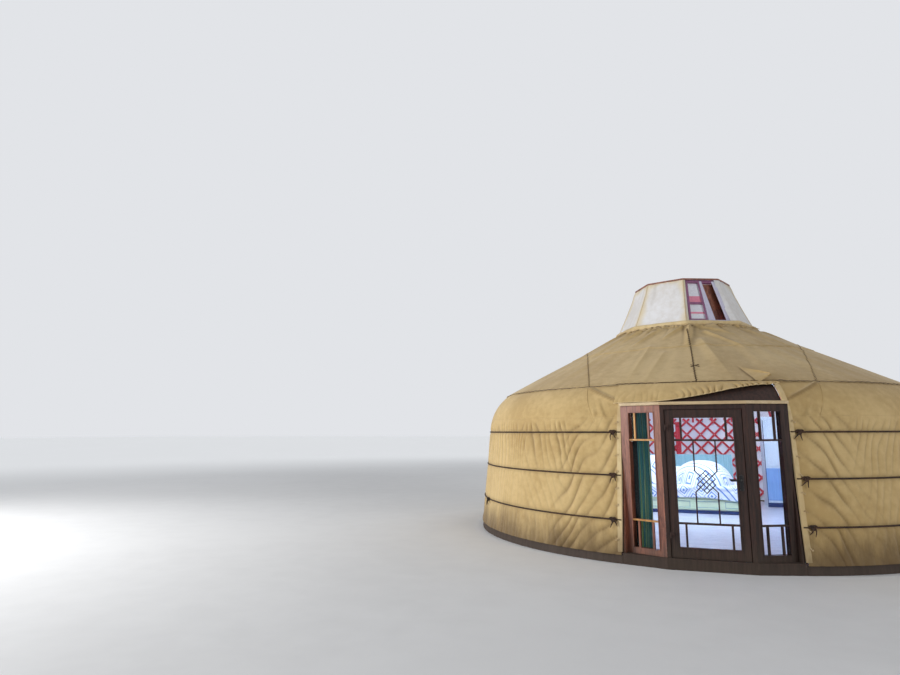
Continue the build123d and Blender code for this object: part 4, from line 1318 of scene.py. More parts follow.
@dataclass
class RoofCloth:
    """Canvas of the roof, from the lantern down to the seam round the eaves."""

    tent: TentShape
    top_radius: float = 1.012  # radius of its upper edge
    ring_seam: float = 1.84  # radius of the upper seam
    lantern_radius: float = 1.04  # radius of the lantern's foot
    pole_azimuth: float = 16.15  # azimuth of one roof pole
    pole_step: float = 6.833  # degrees from one pole to the next
    columns: int = 900
    rows: int = 90
    ridges: tuple[tuple[float, ...], ...] = (  # folds: azimuth and radius of both ends, height and width
        (2.4, 1.06, -1.2, 1.80, 0.085, 0.042), (-1.0, 1.10, -13.0, 1.52, 0.052, 0.036),
        (3.0, 1.10, 25.0, 1.40, 0.054, 0.034), (7.0, 1.28, 21.0, 1.95, 0.044, 0.040),
        (4.4, 1.50, 8.0, 2.86, 0.034, 0.090), (-17.4, 1.66, -16.5, 2.83, 0.024, 0.050),
        (-9.6, 1.90, -12.0, 2.80, 0.018, 0.055), (-17.0, 1.10, -27.0, 1.66, 0.048, 0.038),
        (-33.0, 1.10, -40.0, 1.50, 0.044, 0.034), (-42.0, 1.15, -47.0, 1.90, 0.026, 0.050),
        (40.0, 1.15, 46.0, 2.00, 0.028, 0.050), (-60.0, 1.12, -66.0, 1.70, 0.026, 0.040),
        (68.0, 1.12, 62.0, 1.75, 0.026, 0.040), (112.0, 1.12, 118.0, 1.85, 0.028, 0.045),
        (170.0, 1.12, 163.0, 1.80, 0.030, 0.045), (-128.0, 1.12, -121.0, 1.78, 0.028, 0.045),
    )

    @staticmethod
    def ridge(
        east: Array, south: Array, azimuth: float, radius: float, last_azimuth: float, last_radius: float,
        height: float, width: float,
    ) -> tuple[Array, Array]:
        """Sharp fold over a line of the plan, which falls off with the distance from it.

        Args:
            east: First plan coordinate.
            south: Second plan coordinate.
            azimuth: Azimuth of its start.
            radius: Radius of its start.
            last_azimuth: Azimuth of its end.
            last_radius: Radius of its end.
            height: Height of its crest.
            width: Distance over which it falls to a third.

        Returns:
            The relief of the fold and the painted shade along its foot.
        """
        ends = []
        for angle, reach in ((math.radians(azimuth), radius), (math.radians(last_azimuth), last_radius)):
            ends.append((reach * math.sin(angle), reach * math.cos(angle)))
        (x, y), (last_x, last_y) = ends
        run_x, run_y = last_x - x, last_y - y
        share = np.clip(((east - x) * run_x + (south - y) * run_y) / (run_x**2 + run_y**2), 0, 1)
        away = np.hypot(east - x - share * run_x, south - y - share * run_y) / width
        fade = smooth_step(0, 0.16, share) * (1 - 0.75 * share**2) * height
        return fade * np.exp(-(away**1.15)), 8 * fade * bell(away, 1.7, 0.6)

    def out(self, azimuth: Array, length: Array) -> tuple[Array, Array]:
        """Outward relief and painted shade in the creases.

        Poles show as faint ridges, the collar throws folds that fade down the slope, and the
        canvas puckers along the seam round the eaves.

        Args:
            azimuth: Azimuths in degrees.
            length: Lengths up the surface.

        Returns:
            The relief in metres and the crease value, 0 to 1.
        """
        azimuth, length = np.broadcast_arrays(np.asarray(azimuth, float), np.asarray(length, float))
        radius = self.tent.section(length)[0]
        # noise that closes on itself runs on a circle of the plan
        east, south = np.sin(np.radians(azimuth)), np.cos(np.radians(azimuth))
        bend = noise(41, 3.1 * east + 9, 3.1 * south + 9)
        ripple = noise(42, 11 * east + 30, 11 * south + 30)
        pole_turn = 2 * np.pi * (azimuth - self.pole_azimuth) / self.pole_step - np.pi
        poles = 0.0035 * np.cos(pole_turn) * bell(radius, 2.2, 0.8)
        collar_phase = azimuth / 9.0 + 1.0 * bend + 0.5 * ripple
        collar = gather(collar_phase, 0.8)
        near = np.exp(-np.clip(radius - self.lantern_radius, 0, 9) / 0.20)
        fine = gather(azimuth / 3.6 + 1.5 * ripple, 0.7)
        relief = 0.030 * near * (collar - 0.55) + 0.008 * near**2 * (fine - 0.5)
        long_folds = noise(43, 13 * east + 0.7 * radius + 50, 13 * south + 50)
        wide_folds = noise(44, 6 * east + 60, 6 * south + radius)
        relief += 0.006 * long_folds * bell(radius, 2.2, 0.9) + 0.005 * wide_folds
        overlap = 0.006 * smooth_step(self.ring_seam + 0.008, self.ring_seam - 0.008, radius)
        pucker = gather(azimuth * 1.45 / 3 + 0.8 * ripple, 0.8)
        at_eave = bell(radius, self.tent.eave_radius, 0.07)
        relief += 0.008 * at_eave * (pucker - 0.6) + overlap + poles
        # painted shade in the collar's folds, the puckers at the eaves, along the upper seam and in the
        # long folds' valleys
        crease = 0.9 * near * (1 - collar) ** 2 + 0.5 * at_eave * (1 - pucker) + 0.4 * near**2 * (1 - fine)
        crease += 0.35 * bell(radius, self.ring_seam, 0.012) + 0.18 * smooth_step(0.3, 0.9, -long_folds)
        for ridge in self.ridges:
            crest, shade = self.ridge(radius * east, radius * south, *ridge)
            relief, crease = relief + crest, crease + shade
        return relief + 0.001, np.clip(crease, 0, 1)

    def build(self, shop: Workshop) -> None:
        """Args:
            shop: The workshop that makes the pieces.
        """
        azimuth = np.linspace(0, 360, self.columns, endpoint=False)
        low = float(self.tent.at_radius(self.tent.eave_radius + 0.015))
        high = float(self.tent.at_radius(self.top_radius))
        length = np.linspace(low, high, self.rows)
        columns, rows = np.meshgrid(azimuth, length, indexing="ij")
        relief, crease = self.out(columns, rows)
        eave = self.tent.eave_radius
        drop = smooth_step(eave - 0.03, eave + 0.015, self.tent.section(rows)[0])
        shape = grid(self.tent.place(columns, rows, relief + 0.006 * drop), closed_u=True, crease=crease)
        nodes = ["roof_cover_right", "roof_cover_back", "roof_cover_left"]
        piece = shop.cloth("roof_canvas", shape, replaces=nodes)
        self.tent.area(360, low, high)


@dataclass
class Valance:
    """Canvas that hangs from the eaves over the door, and the loose corner at its right."""

    tent: TentShape
    roof: RoofCloth
    left: float = -18.0  # azimuth of its left end
    right: float = 17.0  # azimuth of its right end
    # azimuths where the hem's height is known
    hem_azimuths: tuple[float, ...] = (-18, -10, -6, 0, 6, 13, 17)
    # the hem's heights there
    hem_heights: tuple[float, ...] = (1.825, 1.832, 1.85, 1.90, 1.965, 2.02, 2.035)

    def surface(self, azimuth: Array, drop: Array) -> tuple[Array, Array]:
        """Points and painted shade at azimuths and shares of the way from the eaves to the hem."""
        hem = np.interp(azimuth, self.hem_azimuths, self.hem_heights)
        top = float(self.tent.at_radius(self.tent.eave_radius))
        wander = noise(51, azimuth / 4.0, drop * 1.1)
        folds = gather(azimuth / 1.5 + 1.1 * wander + 0.3 * drop, 0.75)
        strength = 0.25 + 0.75 * smooth_step(-9.0, 2.0, azimuth + 4 * noise(53, azimuth / 2.5, 0.0))
        scallop = 0.014 * folds * strength * drop**2
        length = top + (self.tent.at_height(hem - scallop) - top) * drop
        loose = smooth_step(0.25, 0.9, drop)
        relief = 0.012 + 0.026 * strength * (folds - 0.45) * loose
        relief = relief + 0.010 * drop * noise(52, azimuth / 5.0, drop)
        tight = gather(azimuth / 0.75 + wander, 0.8) * bell(drop, 0.06, 0.08)
        relief += 0.004 * tight
        # painted shade in the fold valleys and under the seam at the eaves
        crease = (1 - folds) ** 2 * strength * loose + 0.5 * bell(drop, 0.03, 0.05)
        return self.tent.place(azimuth, length, relief), np.clip(crease, 0, 1)

    def build(self, shop: Workshop) -> None:
        """Makes the hanging canvas, its rolled hem and the loose corner.

        Args:
            shop: The workshop that makes the pieces.
        """
        azimuth = np.linspace(self.left, self.right, 300)
        columns, rows = np.meshgrid(azimuth, np.linspace(0, 1, 30), indexing="ij")
        points, crease = self.surface(columns, rows)
        piece = shop.cloth("door_valance", grid(points, crease=crease), replaces=["roof_cover_front"])
        middle = float(np.mean(self.hem_heights))
        drop = float(self.tent.at_radius(self.tent.eave_radius) - self.tent.at_height(middle))
        hem_height = np.interp(azimuth, self.hem_azimuths, self.hem_heights)
        normal = self.tent.normal(azimuth, self.tent.at_height(hem_height))
        hem = sweep(round_profile(0.006, 8), points[:, -1], normal)
        shop.cords("door_valance_hem", [hem], Finish.EDGE_TAPE)
        self.build_corner(shop)

    def build_corner(self, shop: Workshop) -> None:
        """Makes the corner of roof canvas that has come loose and stands off the slope.

        Its surface runs between a fixed edge on the roof and a free edge that rises to a tip.
        """
        share, across = np.meshgrid(np.linspace(0, 0.97, 40), np.linspace(0, 1, 18), indexing="ij")
        azimuth = (11.2 + 1.2 * across) * (1 - share) + 16.3 * share
        radius = (2.53 + 0.42 * across) * (1 - share) + 2.87 * share
        radius = radius + 0.012 * np.sin(5 * share + 6 * across)
        lift = 0.056 * share**1.2 * (1 - 0.45 * across) + 0.010 * np.sin(7 * across + 4 * share) * share
        points = self.tent.place(azimuth, self.tent.at_radius(radius), 0.014 + lift)
        # painted shade along both edges of the loose corner
        crease = 0.25 * smooth_step(0.25, 0.0, across) * (1 - share) + 0.3 * smooth_step(0.8, 1.0, across)
        piece = shop.cloth("loose_roof_corner", grid(points, crease=crease))


@dataclass
class RoofTrim:
    """Bunched collar under the lantern, seams and lacing of the roof."""

    tent: TentShape
    roof: RoofCloth
    seam_points: tuple[tuple[float, float], ...] = (  # plan points of the front panel's left seam
        (-1.52, -0.60), (-1.495, -0.84), (-1.375, -1.95), (-1.30, -2.62), (-1.225, -2.66),
    )
    cross_radius: float = 2.475  # radius of the cross-stitch on the door's seam

    def on_roof(self, azimuth: Array, radius: Array, out: float) -> tuple[Array, Array]:
        """Points and outward directions on the roof canvas."""
        length = self.tent.at_radius(radius)
        relief, _ = self.roof.out(np.asarray(azimuth) % 360, length)
        return self.tent.place(azimuth, length, relief + out), self.tent.normal(azimuth, length)

    def cord(self, azimuth: Array, radius: Array, thickness: float, out: float = 0.001) -> Shape:
        """Cord laid on the roof canvas."""
        points, normals = self.on_roof(azimuth, radius, out)
        return sweep(round_profile(thickness, 6, 0.7), points, normals)

    def collar(self) -> Shape:
        """Bunched upper edge of the roof canvas: a ring from under the roll to a wandering lower edge."""
        azimuth = np.linspace(0, 360, 900, endpoint=False)
        columns, drop = np.meshgrid(azimuth, np.linspace(0, 1, 18), indexing="ij")
        east, south = np.sin(np.radians(columns)), np.cos(np.radians(columns))
        wander = noise(61, 4.2 * east + 9, 4.2 * south + 9)
        flick = noise(62, 15 * east + 40, 15 * south + 40)
        bunch = 0.04 + 0.96 * smooth_step(-0.25, 0.5, noise(63, 6 * east + 70, 6 * south + 70))
        folds = gather(columns / 8.0 + 2.0 * wander + 1.1 * flick + 0.5 * drop * wander, 0.7)
        inner = 0.995 / np.cos(np.radians(columns % 45 - 22.5))
        edge = 1.135 + 0.045 * wander + 0.035 * flick * bunch + 0.02 * (folds - 0.5)
        edge = np.maximum(edge, inner + 0.03)
        length = self.tent.at_radius(inner + (edge - inner) * drop)
        relief, _ = self.roof.out(columns, length)
        lift = 0.003 + bunch * folds * (0.026 + 0.014 * flick) * np.sin(np.pi * drop**1.1) ** 1.5
        # painted shade in the collar's folds, towards its lower edge and in the gap under the lantern's
        # roll
        crease = 1.1 * (1 - folds) ** 1.3 * bunch + 0.3 * smooth_step(0.8, 1, drop)
        crease = crease + smooth_step(0.42, 0.16, drop)
        points = self.tent.place(columns, length, relief + lift)
        return grid(points, closed_u=True, crease=np.clip(crease, 0, 1))

    def ties(self) -> Shape:
        """Loops of cord under the lantern's roll that hold the collar."""
        loops = []
        turn = np.linspace(0, 1, 22)
        for index, azimuth in enumerate((3.0, 27, 62, 97, 135, 171, 205, 241, 262, 300, 318, 339.6)):
            lean = 1.4 * (-1) ** index
            path_azimuth = azimuth + 1.6 * np.sin(2 * np.pi * turn) + lean * turn
            length = self.tent.at_radius(1.05 + 0.11 * np.sin(np.pi * turn) ** 1.2)
            out = 0.030 + 0.010 * np.sin(np.pi * turn)
            loops.append(self.tent.run(round_profile(0.0045, 6), path_azimuth, length, out))
        return join(loops)

    def build(self, shop: Workshop) -> None:
        """Makes the collar, the seams and the lacing.

        Args:
            shop: The workshop that makes the pieces.
        """
        collar = shop.cloth("roof_collar", self.collar())
        shop.cords("collar_ties", [self.ties()], Finish.LASHING)
        plan = np.array(self.seam_points)
        steps = np.linspace(0, len(plan) - 1, 260)
        x = np.interp(steps, range(len(plan)), plan[:, 0])
        y = np.interp(steps, range(len(plan)), plan[:, 1])
        azimuth, radius = np.degrees(np.arctan2(x, -y)), np.hypot(x, y)
        welts = [self.cord(azimuth, radius, 0.0075), self.cord(-azimuth, radius, 0.0075)]
        around = np.linspace(0, 360, 720)
        welts.append(self.cord(around, np.full(720, self.roof.ring_seam), 0.006))
        shop.cords("roof_welts", welts, Finish.CANVAS)
        over_door = smooth_step(19.5, 17.5, np.abs((around + 180) % 360 - 180))
        eave = np.full(720, self.tent.eave_radius)
        stitches = [self.cord(around, eave, 0.0065, 0.003 + 0.013 * over_door)]
        for sign in (1, -1):
            stitches.append(self.lacing(sign * azimuth[60:], radius[60:], 0.010, 0.05))
        run = np.linspace(1.30, self.tent.eave_radius - 0.02, 200)
        lean = 0.25 * np.sin(np.linspace(0, 5, 200)) - 0.6 * np.linspace(1, 0, 200)
        stitches.append(self.lacing(lean, run, 0.013, 0.055))
        stitches.append(self.cord(lean, run, 0.004))
        for tilt in (-1, 1):
            share = np.linspace(-1, 1, 9)
            cross_azimuth = 0.05 + 1.15 * share
            stitches.append(self.cord(cross_azimuth, self.cross_radius + 0.03 * tilt * share, 0.006, 0.004))
        shop.cords("roof_lacing", stitches, Finish.SEAM)

    def lacing(self, azimuth: Array, radius: Array, swing: float, pitch: float) -> Shape:
        """Cord that crosses a seam from side to side as it runs along it."""
        points, _ = self.on_roof(azimuth, radius, 0.0)
        run = np.concatenate([[0], np.cumsum(np.linalg.norm(np.diff(points, axis=0), axis=1))])
        steps = np.linspace(0, run[-1], int(run[-1] / pitch * 6))
        wave = swing * (2 / np.pi) * np.arcsin(np.sin(2 * np.pi * steps / pitch))
        along_azimuth, along_radius = np.interp(steps, run, azimuth), np.interp(steps, run, radius)
        return self.cord(along_azimuth + np.degrees(wave / along_radius), along_radius, 0.0035, 0.004)


@dataclass
class Ropes:
    """Three taut ropes round the wall, tied off beside the door."""

    tent: TentShape
    wall: WallCloth
    radius: float = 0.0095  # radius of a rope
    lay: float = 0.075  # length of one turn of its strands
    end_angle: float = 17.6  # azimuth of its ends

    def rope(self, height: float) -> Shape:
        """Three-stranded rope: a circle with three lobes that turns as it runs along."""
        count = 1300
        azimuth = np.linspace(self.end_angle, 360 - self.end_angle, count)
        length = np.full(count, float(self.tent.at_height(height)))
        relief, _ = self.wall.out(azimuth, length)
        smooth = np.convolve(np.pad(relief, 7, mode="edge"), np.ones(15) / 15, mode="valid")
        angle = np.arange(8) * 2 * np.pi / 8
        run = np.radians(azimuth) * self.tent.section(length)[0]
        twist = 2 * np.pi * run[:, None] / self.lay
        lobes = self.radius * (0.86 + 0.22 * np.abs(np.cos(1.5 * (angle + twist))))
        profile = np.stack([np.cos(angle) * lobes, np.sin(angle) * lobes], -1)
        return self.tent.run(profile, azimuth, length, smooth + self.radius * 0.9)

    def knot(self, height: float, azimuth: float, index: int) -> Shape:
        """Overhand knot on a rope: a trefoil path with two hanging tails."""
        side = 1 if azimuth > 0 else -1
        length = float(self.tent.at_height(height))
        centre = self.tent.place(azimuth, length, 0.018)
        out = self.tent.normal(azimuth, length)
        along = unit(np.cross(out, UP)) * side
        up = np.cross(along, out) * side
        turn = np.linspace(0, 2 * np.pi, 60, endpoint=False)
        loop_x = (np.sin(turn) + 2 * np.sin(2 * turn)) * 0.013
        loop_y = (np.cos(turn) - 2 * np.cos(2 * turn)) * 0.009
        loop_z = -np.sin(3 * turn) * 0.007
        path = centre + loop_x[:, None] * along + loop_y[:, None] * up + loop_z[:, None] * out
        pieces = [sweep(round_profile(0.0085, 8), path, out + 0.3 * up, closed=True)]
        share = np.linspace(0, 1, 14)[:, None]
        for tail, (reach, drop) in enumerate(((-0.055, 0.075), (0.018, 0.095))):
            curl = 0.012 * np.sin(3 * share + index + tail)
            tail_path = centre - along * side * (reach * share * side + curl) - up * drop * share**1.15
            tail_path = tail_path + out * (0.004 + 0.010 * np.sin(np.pi * share))
            radius = (0.0075 * (1 - 0.55 * share[:, 0] ** 3))[:, None, None] * round_profile(1.0, 7)[None]
            pieces.append(sweep(radius, tail_path, out))
        return join(pieces)

    def hitch(self, height: float, side: int) -> Shape:
        """End of a rope, from its knot to the door bay."""
        azimuth = side * np.linspace(self.end_angle + 0.3, 16.15, 14)
        length = np.full(14, float(self.tent.at_height(height)))
        return self.tent.run(round_profile(0.007, 8), azimuth, length, 0.012)

    def build(self, shop: Workshop) -> None:
        """Makes the ropes and their knots.

        Args:
            shop: The workshop that makes the pieces.
        """
        heights = self.wall.rope_heights
        shop.cords("wall_ropes_twisted", map(self.rope, heights), Finish.ROPE, replaces=["wall_ropes"])
        knots = [self.knot(0.475, -63.2, 7)]
        for index, height in enumerate(heights):
            for side in (-1, 1):
                knots.append(self.knot(height, side * (self.end_angle + 0.25), index))
                knots.append(self.hitch(height, side))
        shop.cords("rope_knots", knots, Finish.ROPE)


@dataclass
class WallTrim:
    """Edge strips beside the door, their ties, the wall's seams and the white liner inside."""

    tent: TentShape
    wall: WallCloth
    strip_width: float = 0.052  # width of the pale strip beside the door bay
    # azimuths of the wall's upright seams
    seam_azimuths: tuple[float, ...] = (-61.5, 64.5, 120.0, 180.0, 240.0)
    liner_depth: float = 0.024  # depth of the liner below the outer surface
    bay_radius: float = 3.225  # radius of the bay's outer edges

    def strip(self, side: int) -> Shape:
        """Pale strip from the sill up, over the canvas's edge; at the right it goes on to the loose hem."""
        high = 2.035 if side > 0 else 1.84
        length = np.linspace(float(self.tent.at_height(0.13)), float(self.tent.at_height(high)), 60)
        azimuth = np.full(60, side * (self.wall.edge_angle + 0.28))
        return self.tent.run(box_profile(self.strip_width, 0.035), azimuth, length, -0.0075)

    def lining(self, side: int) -> Shape:
        """Board between the leaning canvas's edge and the upright bay, as deep as the canvas stands out."""
        length = np.linspace(float(self.tent.at_height(0.125)), float(self.tent.at_height(2.02)), 50)
        azimuth = np.full(50, side * (self.tent.bay_half + 0.14))
        depth = np.maximum(self.tent.section(length)[0] - self.bay_radius, 0.02)
        profile = box_profile(1, 1)[None] * np.stack([np.full(50, 0.010), depth], -1)[:, None]
        return self.tent.run(profile, azimuth, length, -0.006 - depth / 2)

    def on_canvas(self, profile: Array, azimuth: Array, length: Array, out: Array = 0.0) -> Shape:
        """A profile carried along the relief of the wall canvas."""
        relief, _ = self.wall.out(azimuth, length)
        return self.tent.run(profile, azimuth, length, relief + out)

    def edge_ties(self, side: int) -> Shape:
        """Short ties that lace the canvas to the strip."""
        loops = []
        turn = np.linspace(0, 1, 12)
        for height in np.arange(0.26, 1.78, 0.19):
            azimuth = side * (self.wall.edge_angle + 0.40 + 0.75 * turn)
            length = self.tent.at_height(height + 0.014 * np.sin(2 * np.pi * turn))
            out = 0.012 * np.sin(np.pi * turn) + 0.012
            loops.append(self.on_canvas(round_profile(0.0035, 6), azimuth, length, out))
        return join(loops)

    def seam(self, azimuth: float) -> Shape:
        """Upright welt on the wall canvas, from its foot to the eaves."""
        low = float(self.tent.at_height(self.wall.foot + 0.01))
        length = np.linspace(low, float(self.tent.at_radius(self.tent.eave_radius)), 160)
        return self.on_canvas(round_profile(0.009, 6, 0.45), np.full(160, azimuth), length, 0.001)

    def corner_seam(self, side: int) -> Shape:
        """Seam from the eaves down to the gathers, in line with the roof's front seam."""
        height = np.linspace(2.045, 1.60, 70)
        azimuth = side * np.interp(height, [1.60, 1.75, 1.95, 2.045], [22.2, 23.8, 25.6, 26.4])
        return self.on_canvas(round_profile(0.006, 6, 0.6), azimuth, self.tent.at_height(height), 0.001)

    def level_seam(self) -> Shape:
        """Row of stitches where the gathers start, all round the wall."""
        azimuth = np.linspace(self.wall.edge_angle + 0.6, 359.4 - self.wall.edge_angle, 900)
        length = np.full(900, float(self.tent.at_height(self.wall.gather_top)))
        return self.on_canvas(round_profile(0.0045, 5, 0.5), azimuth, length)

    def liner(self, low: float, high: float, first: float, last: float, columns: int, rows: int) -> Shape:
        """White liner inside the frame, hanging in shallow waves."""
        around, up = np.linspace(first, last, columns), np.linspace(low, high, rows)
        azimuth, length = np.meshgrid(around, up, indexing="ij")
        wave = 0.002 * np.sin(np.radians(azimuth) * 70) * noise(71, azimuth / 9, length)
        # painted shade in the liner's wave valleys
        crease = smooth_step(0.2, -0.8, np.sin(np.radians(azimuth) * 70))
        return grid(self.tent.place(azimuth, length, -self.liner_depth + wave), crease=0.5 * crease)

    def build(self, shop: Workshop) -> None:
        """Makes the strips, ties, seams and liners.

        Args:
            shop: The workshop that makes the pieces.
        """
        sides = (-1, 1)
        shop.joinery("canvas_edge_strips", map(self.strip, sides), Finish.EDGE_TAPE, 0.003)
        # painted shade: the linings carry the bay wood darkened as in shadow
        shop.joinery("bay_linings", map(self.lining, sides), Finish.PAINTED_SHADE_WOOD, bevel=0.0)
        shop.cords("canvas_edge_ties", map(self.edge_ties, sides), Finish.LASHING)
        seams = [*map(self.seam, self.seam_azimuths), *map(self.corner_seam, sides), self.level_seam()]
        shop.cords("wall_seams", seams, Finish.CANVAS)
        tent = self.tent
        low, eave = float(tent.at_height(0.13)), float(tent.at_height(1.66))
        high = float(tent.at_radius(1.02))
        bay = tent.bay_half + 1.1
        inner_wall = self.liner(low, eave, bay, 360 - bay, 500, 12)
        wall_liner = shop.cloth("wall_liner", inner_wall, Finish.FELT)
        span = 360 - 2 * bay
        tent.area(span, low, eave) * 0.98
        middle = float(tent.at_radius(2.62))
        lower = self.liner(eave, middle, bay, 360 - bay, 460, 10)
        upper = self.liner(middle, high, 0, 360, 500, 15)
        roof_liner = shop.cloth("roof_liner", join([lower, upper]), Finish.FELT)
        tent.area(360, eave, high) * 0.98


@dataclass
class Lattice:
    """Folding lattice of crossed red slats with lashed crossings and end posts."""

    tent: TentShape
    step: float = 4.80  # width of a cell in degrees
    cell_height: float = 0.282  # height of a cell
    # azimuth and height of one crossing, which sets all the others
    crossing: tuple[float, float] = (178.9, 1.698)
    slat_width: float = 0.038
    slat_depth: float = 0.013  # thickness of a slat
    layer_gap: float = 0.0008  # gap between the two layers
    outer_depth: float = 0.037  # depth of the outer layer's middle below the outer surface
    low: float = 0.125  # height of the slats' feet
    high: float = 1.765  # height of their heads
    # azimuths of the broad posts where sections meet
    section_posts: tuple[float, ...] = (70.7, 125.3, 182.0, 234.7, 289.3)

    @property
    def span(self) -> tuple[float, float]:
        """Azimuths of the lattice's ends beside the door bay."""
        return self.tent.bay_half + 0.9, 359.1 - self.tent.bay_half

    def depth(self, height: Array) -> Array:
        """Depth of the outer layer, whose heads pass inside the feet of the poles."""
        return self.outer_depth + 0.031 * smooth_step(1.58, 1.67, height)

    def slats(self) -> Shape:
        """Slats of both layers: lines whose azimuth changes evenly with height, one way and the other."""
        first, last = self.span
        height = np.linspace(self.low, self.high, 22)
        length = self.tent.at_height(height)
        pieces = []
        for layer, direction in ((0, 1), (1, -1)):
            depth = self.depth(height) + layer * (self.slat_depth + self.layer_gap)
            run = direction * (height - self.crossing[1]) / self.cell_height
            for count in range(-44, 45):
                azimuth = self.crossing[0] + self.step * (count + run)
                inside = (azimuth >= first) & (azimuth <= last)
                if inside.sum() < 2:
                    continue
                profile = box_profile(self.slat_width, self.slat_depth)
                pieces.append(self.tent.run(profile, azimuth[inside], length[inside], -depth[inside]))
        return join(pieces)

    def posts(self) -> Shape:
        """Broad posts at the ends and where two sections overlap."""
        pieces = []
        height = np.linspace(self.low, 1.70, 14)
        length = self.tent.at_height(height)
        first, last = self.span
        for azimuth, width in [(a, 0.10) for a in self.section_posts] + [(first, 0.05), (last, 0.05)]:
            out = -self.depth(height) - 0.028
            pieces.append(self.tent.run(box_profile(width, 0.026), np.full(14, azimuth), length, out))
        return join(pieces)

    def crossings(self) -> Shape:
        """Round heads of the leather lashings where slats cross, seen from inside.

        Crossings lie at whole and half steps from the first one, wherever both counts are odd or even.
        """
        first, last = self.span
        across, up = np.meshgrid(np.arange(-88, 89), np.arange(-12, 2), indexing="ij")
        azimuth = self.crossing[0] + self.step * across / 2
        height = self.crossing[1] + self.cell_height * up / 2
        keep = ((across + up) % 2 == 0) & (azimuth > first) & (azimuth < last)
        keep &= (height > self.low + 0.02) & (height < self.high - 0.02)
        azimuth, height = azimuth[keep], height[keep]
        length = self.tent.at_height(height)
        normal = self.tent.normal(azimuth, length)
        inner_face = self.depth(height) + 1.5 * self.slat_depth + self.layer_gap
        centre = self.tent.place(azimuth, length, -inner_face)
        tangent = unit(np.cross(normal, UP))
        upward = np.cross(tangent, normal)
        angle = np.arange(6) * np.pi / 3
        level, rise = np.cos(angle)[None, :, None], np.sin(angle)[None, :, None]
        rim = tangent[:, None] * level + upward[:, None] * rise
        rings = [centre[:, None] + rim * 0.009, centre[:, None] + rim * 0.006 - normal[:, None] * 0.005]
        tip = centre - normal * 0.007
        points = np.concatenate([*rings, tip[:, None]], 1).reshape(-1, 3)
        index = np.arange(6)
        after = (index + 1) % 6
        side = np.stack([index, after, after + 6, index + 6], -1)
        cap = np.stack([index + 6, after + 6, np.full(6, 12)], -1)
        base = index[::-1][None]
        offsets = np.arange(len(tip)) * 13
        faces = [
            (part[None] + offsets[:, None, None]).reshape(-1, part.shape[1]) for part in (side, cap, base)
        ]
        return Shape(points, faces, [np.zeros((*face.shape, 2)) for face in faces])

    def build(self, shop: Workshop) -> None:
        """Makes the slats, posts and lashings.

        Args:
            shop: The workshop that makes the pieces.
        """
        nodes = [f"lattice_{index}" for index in range(1, 7)]
        shop.joinery("lattice", [self.slats()], Finish.RED_WOOD, 0.0, replaces=nodes)
        shop.joinery("lattice_posts", [self.posts()], Finish.RED_WOOD, 0.003)
        shop.cords("lattice_lashings", [self.crossings()], Finish.LASHING)


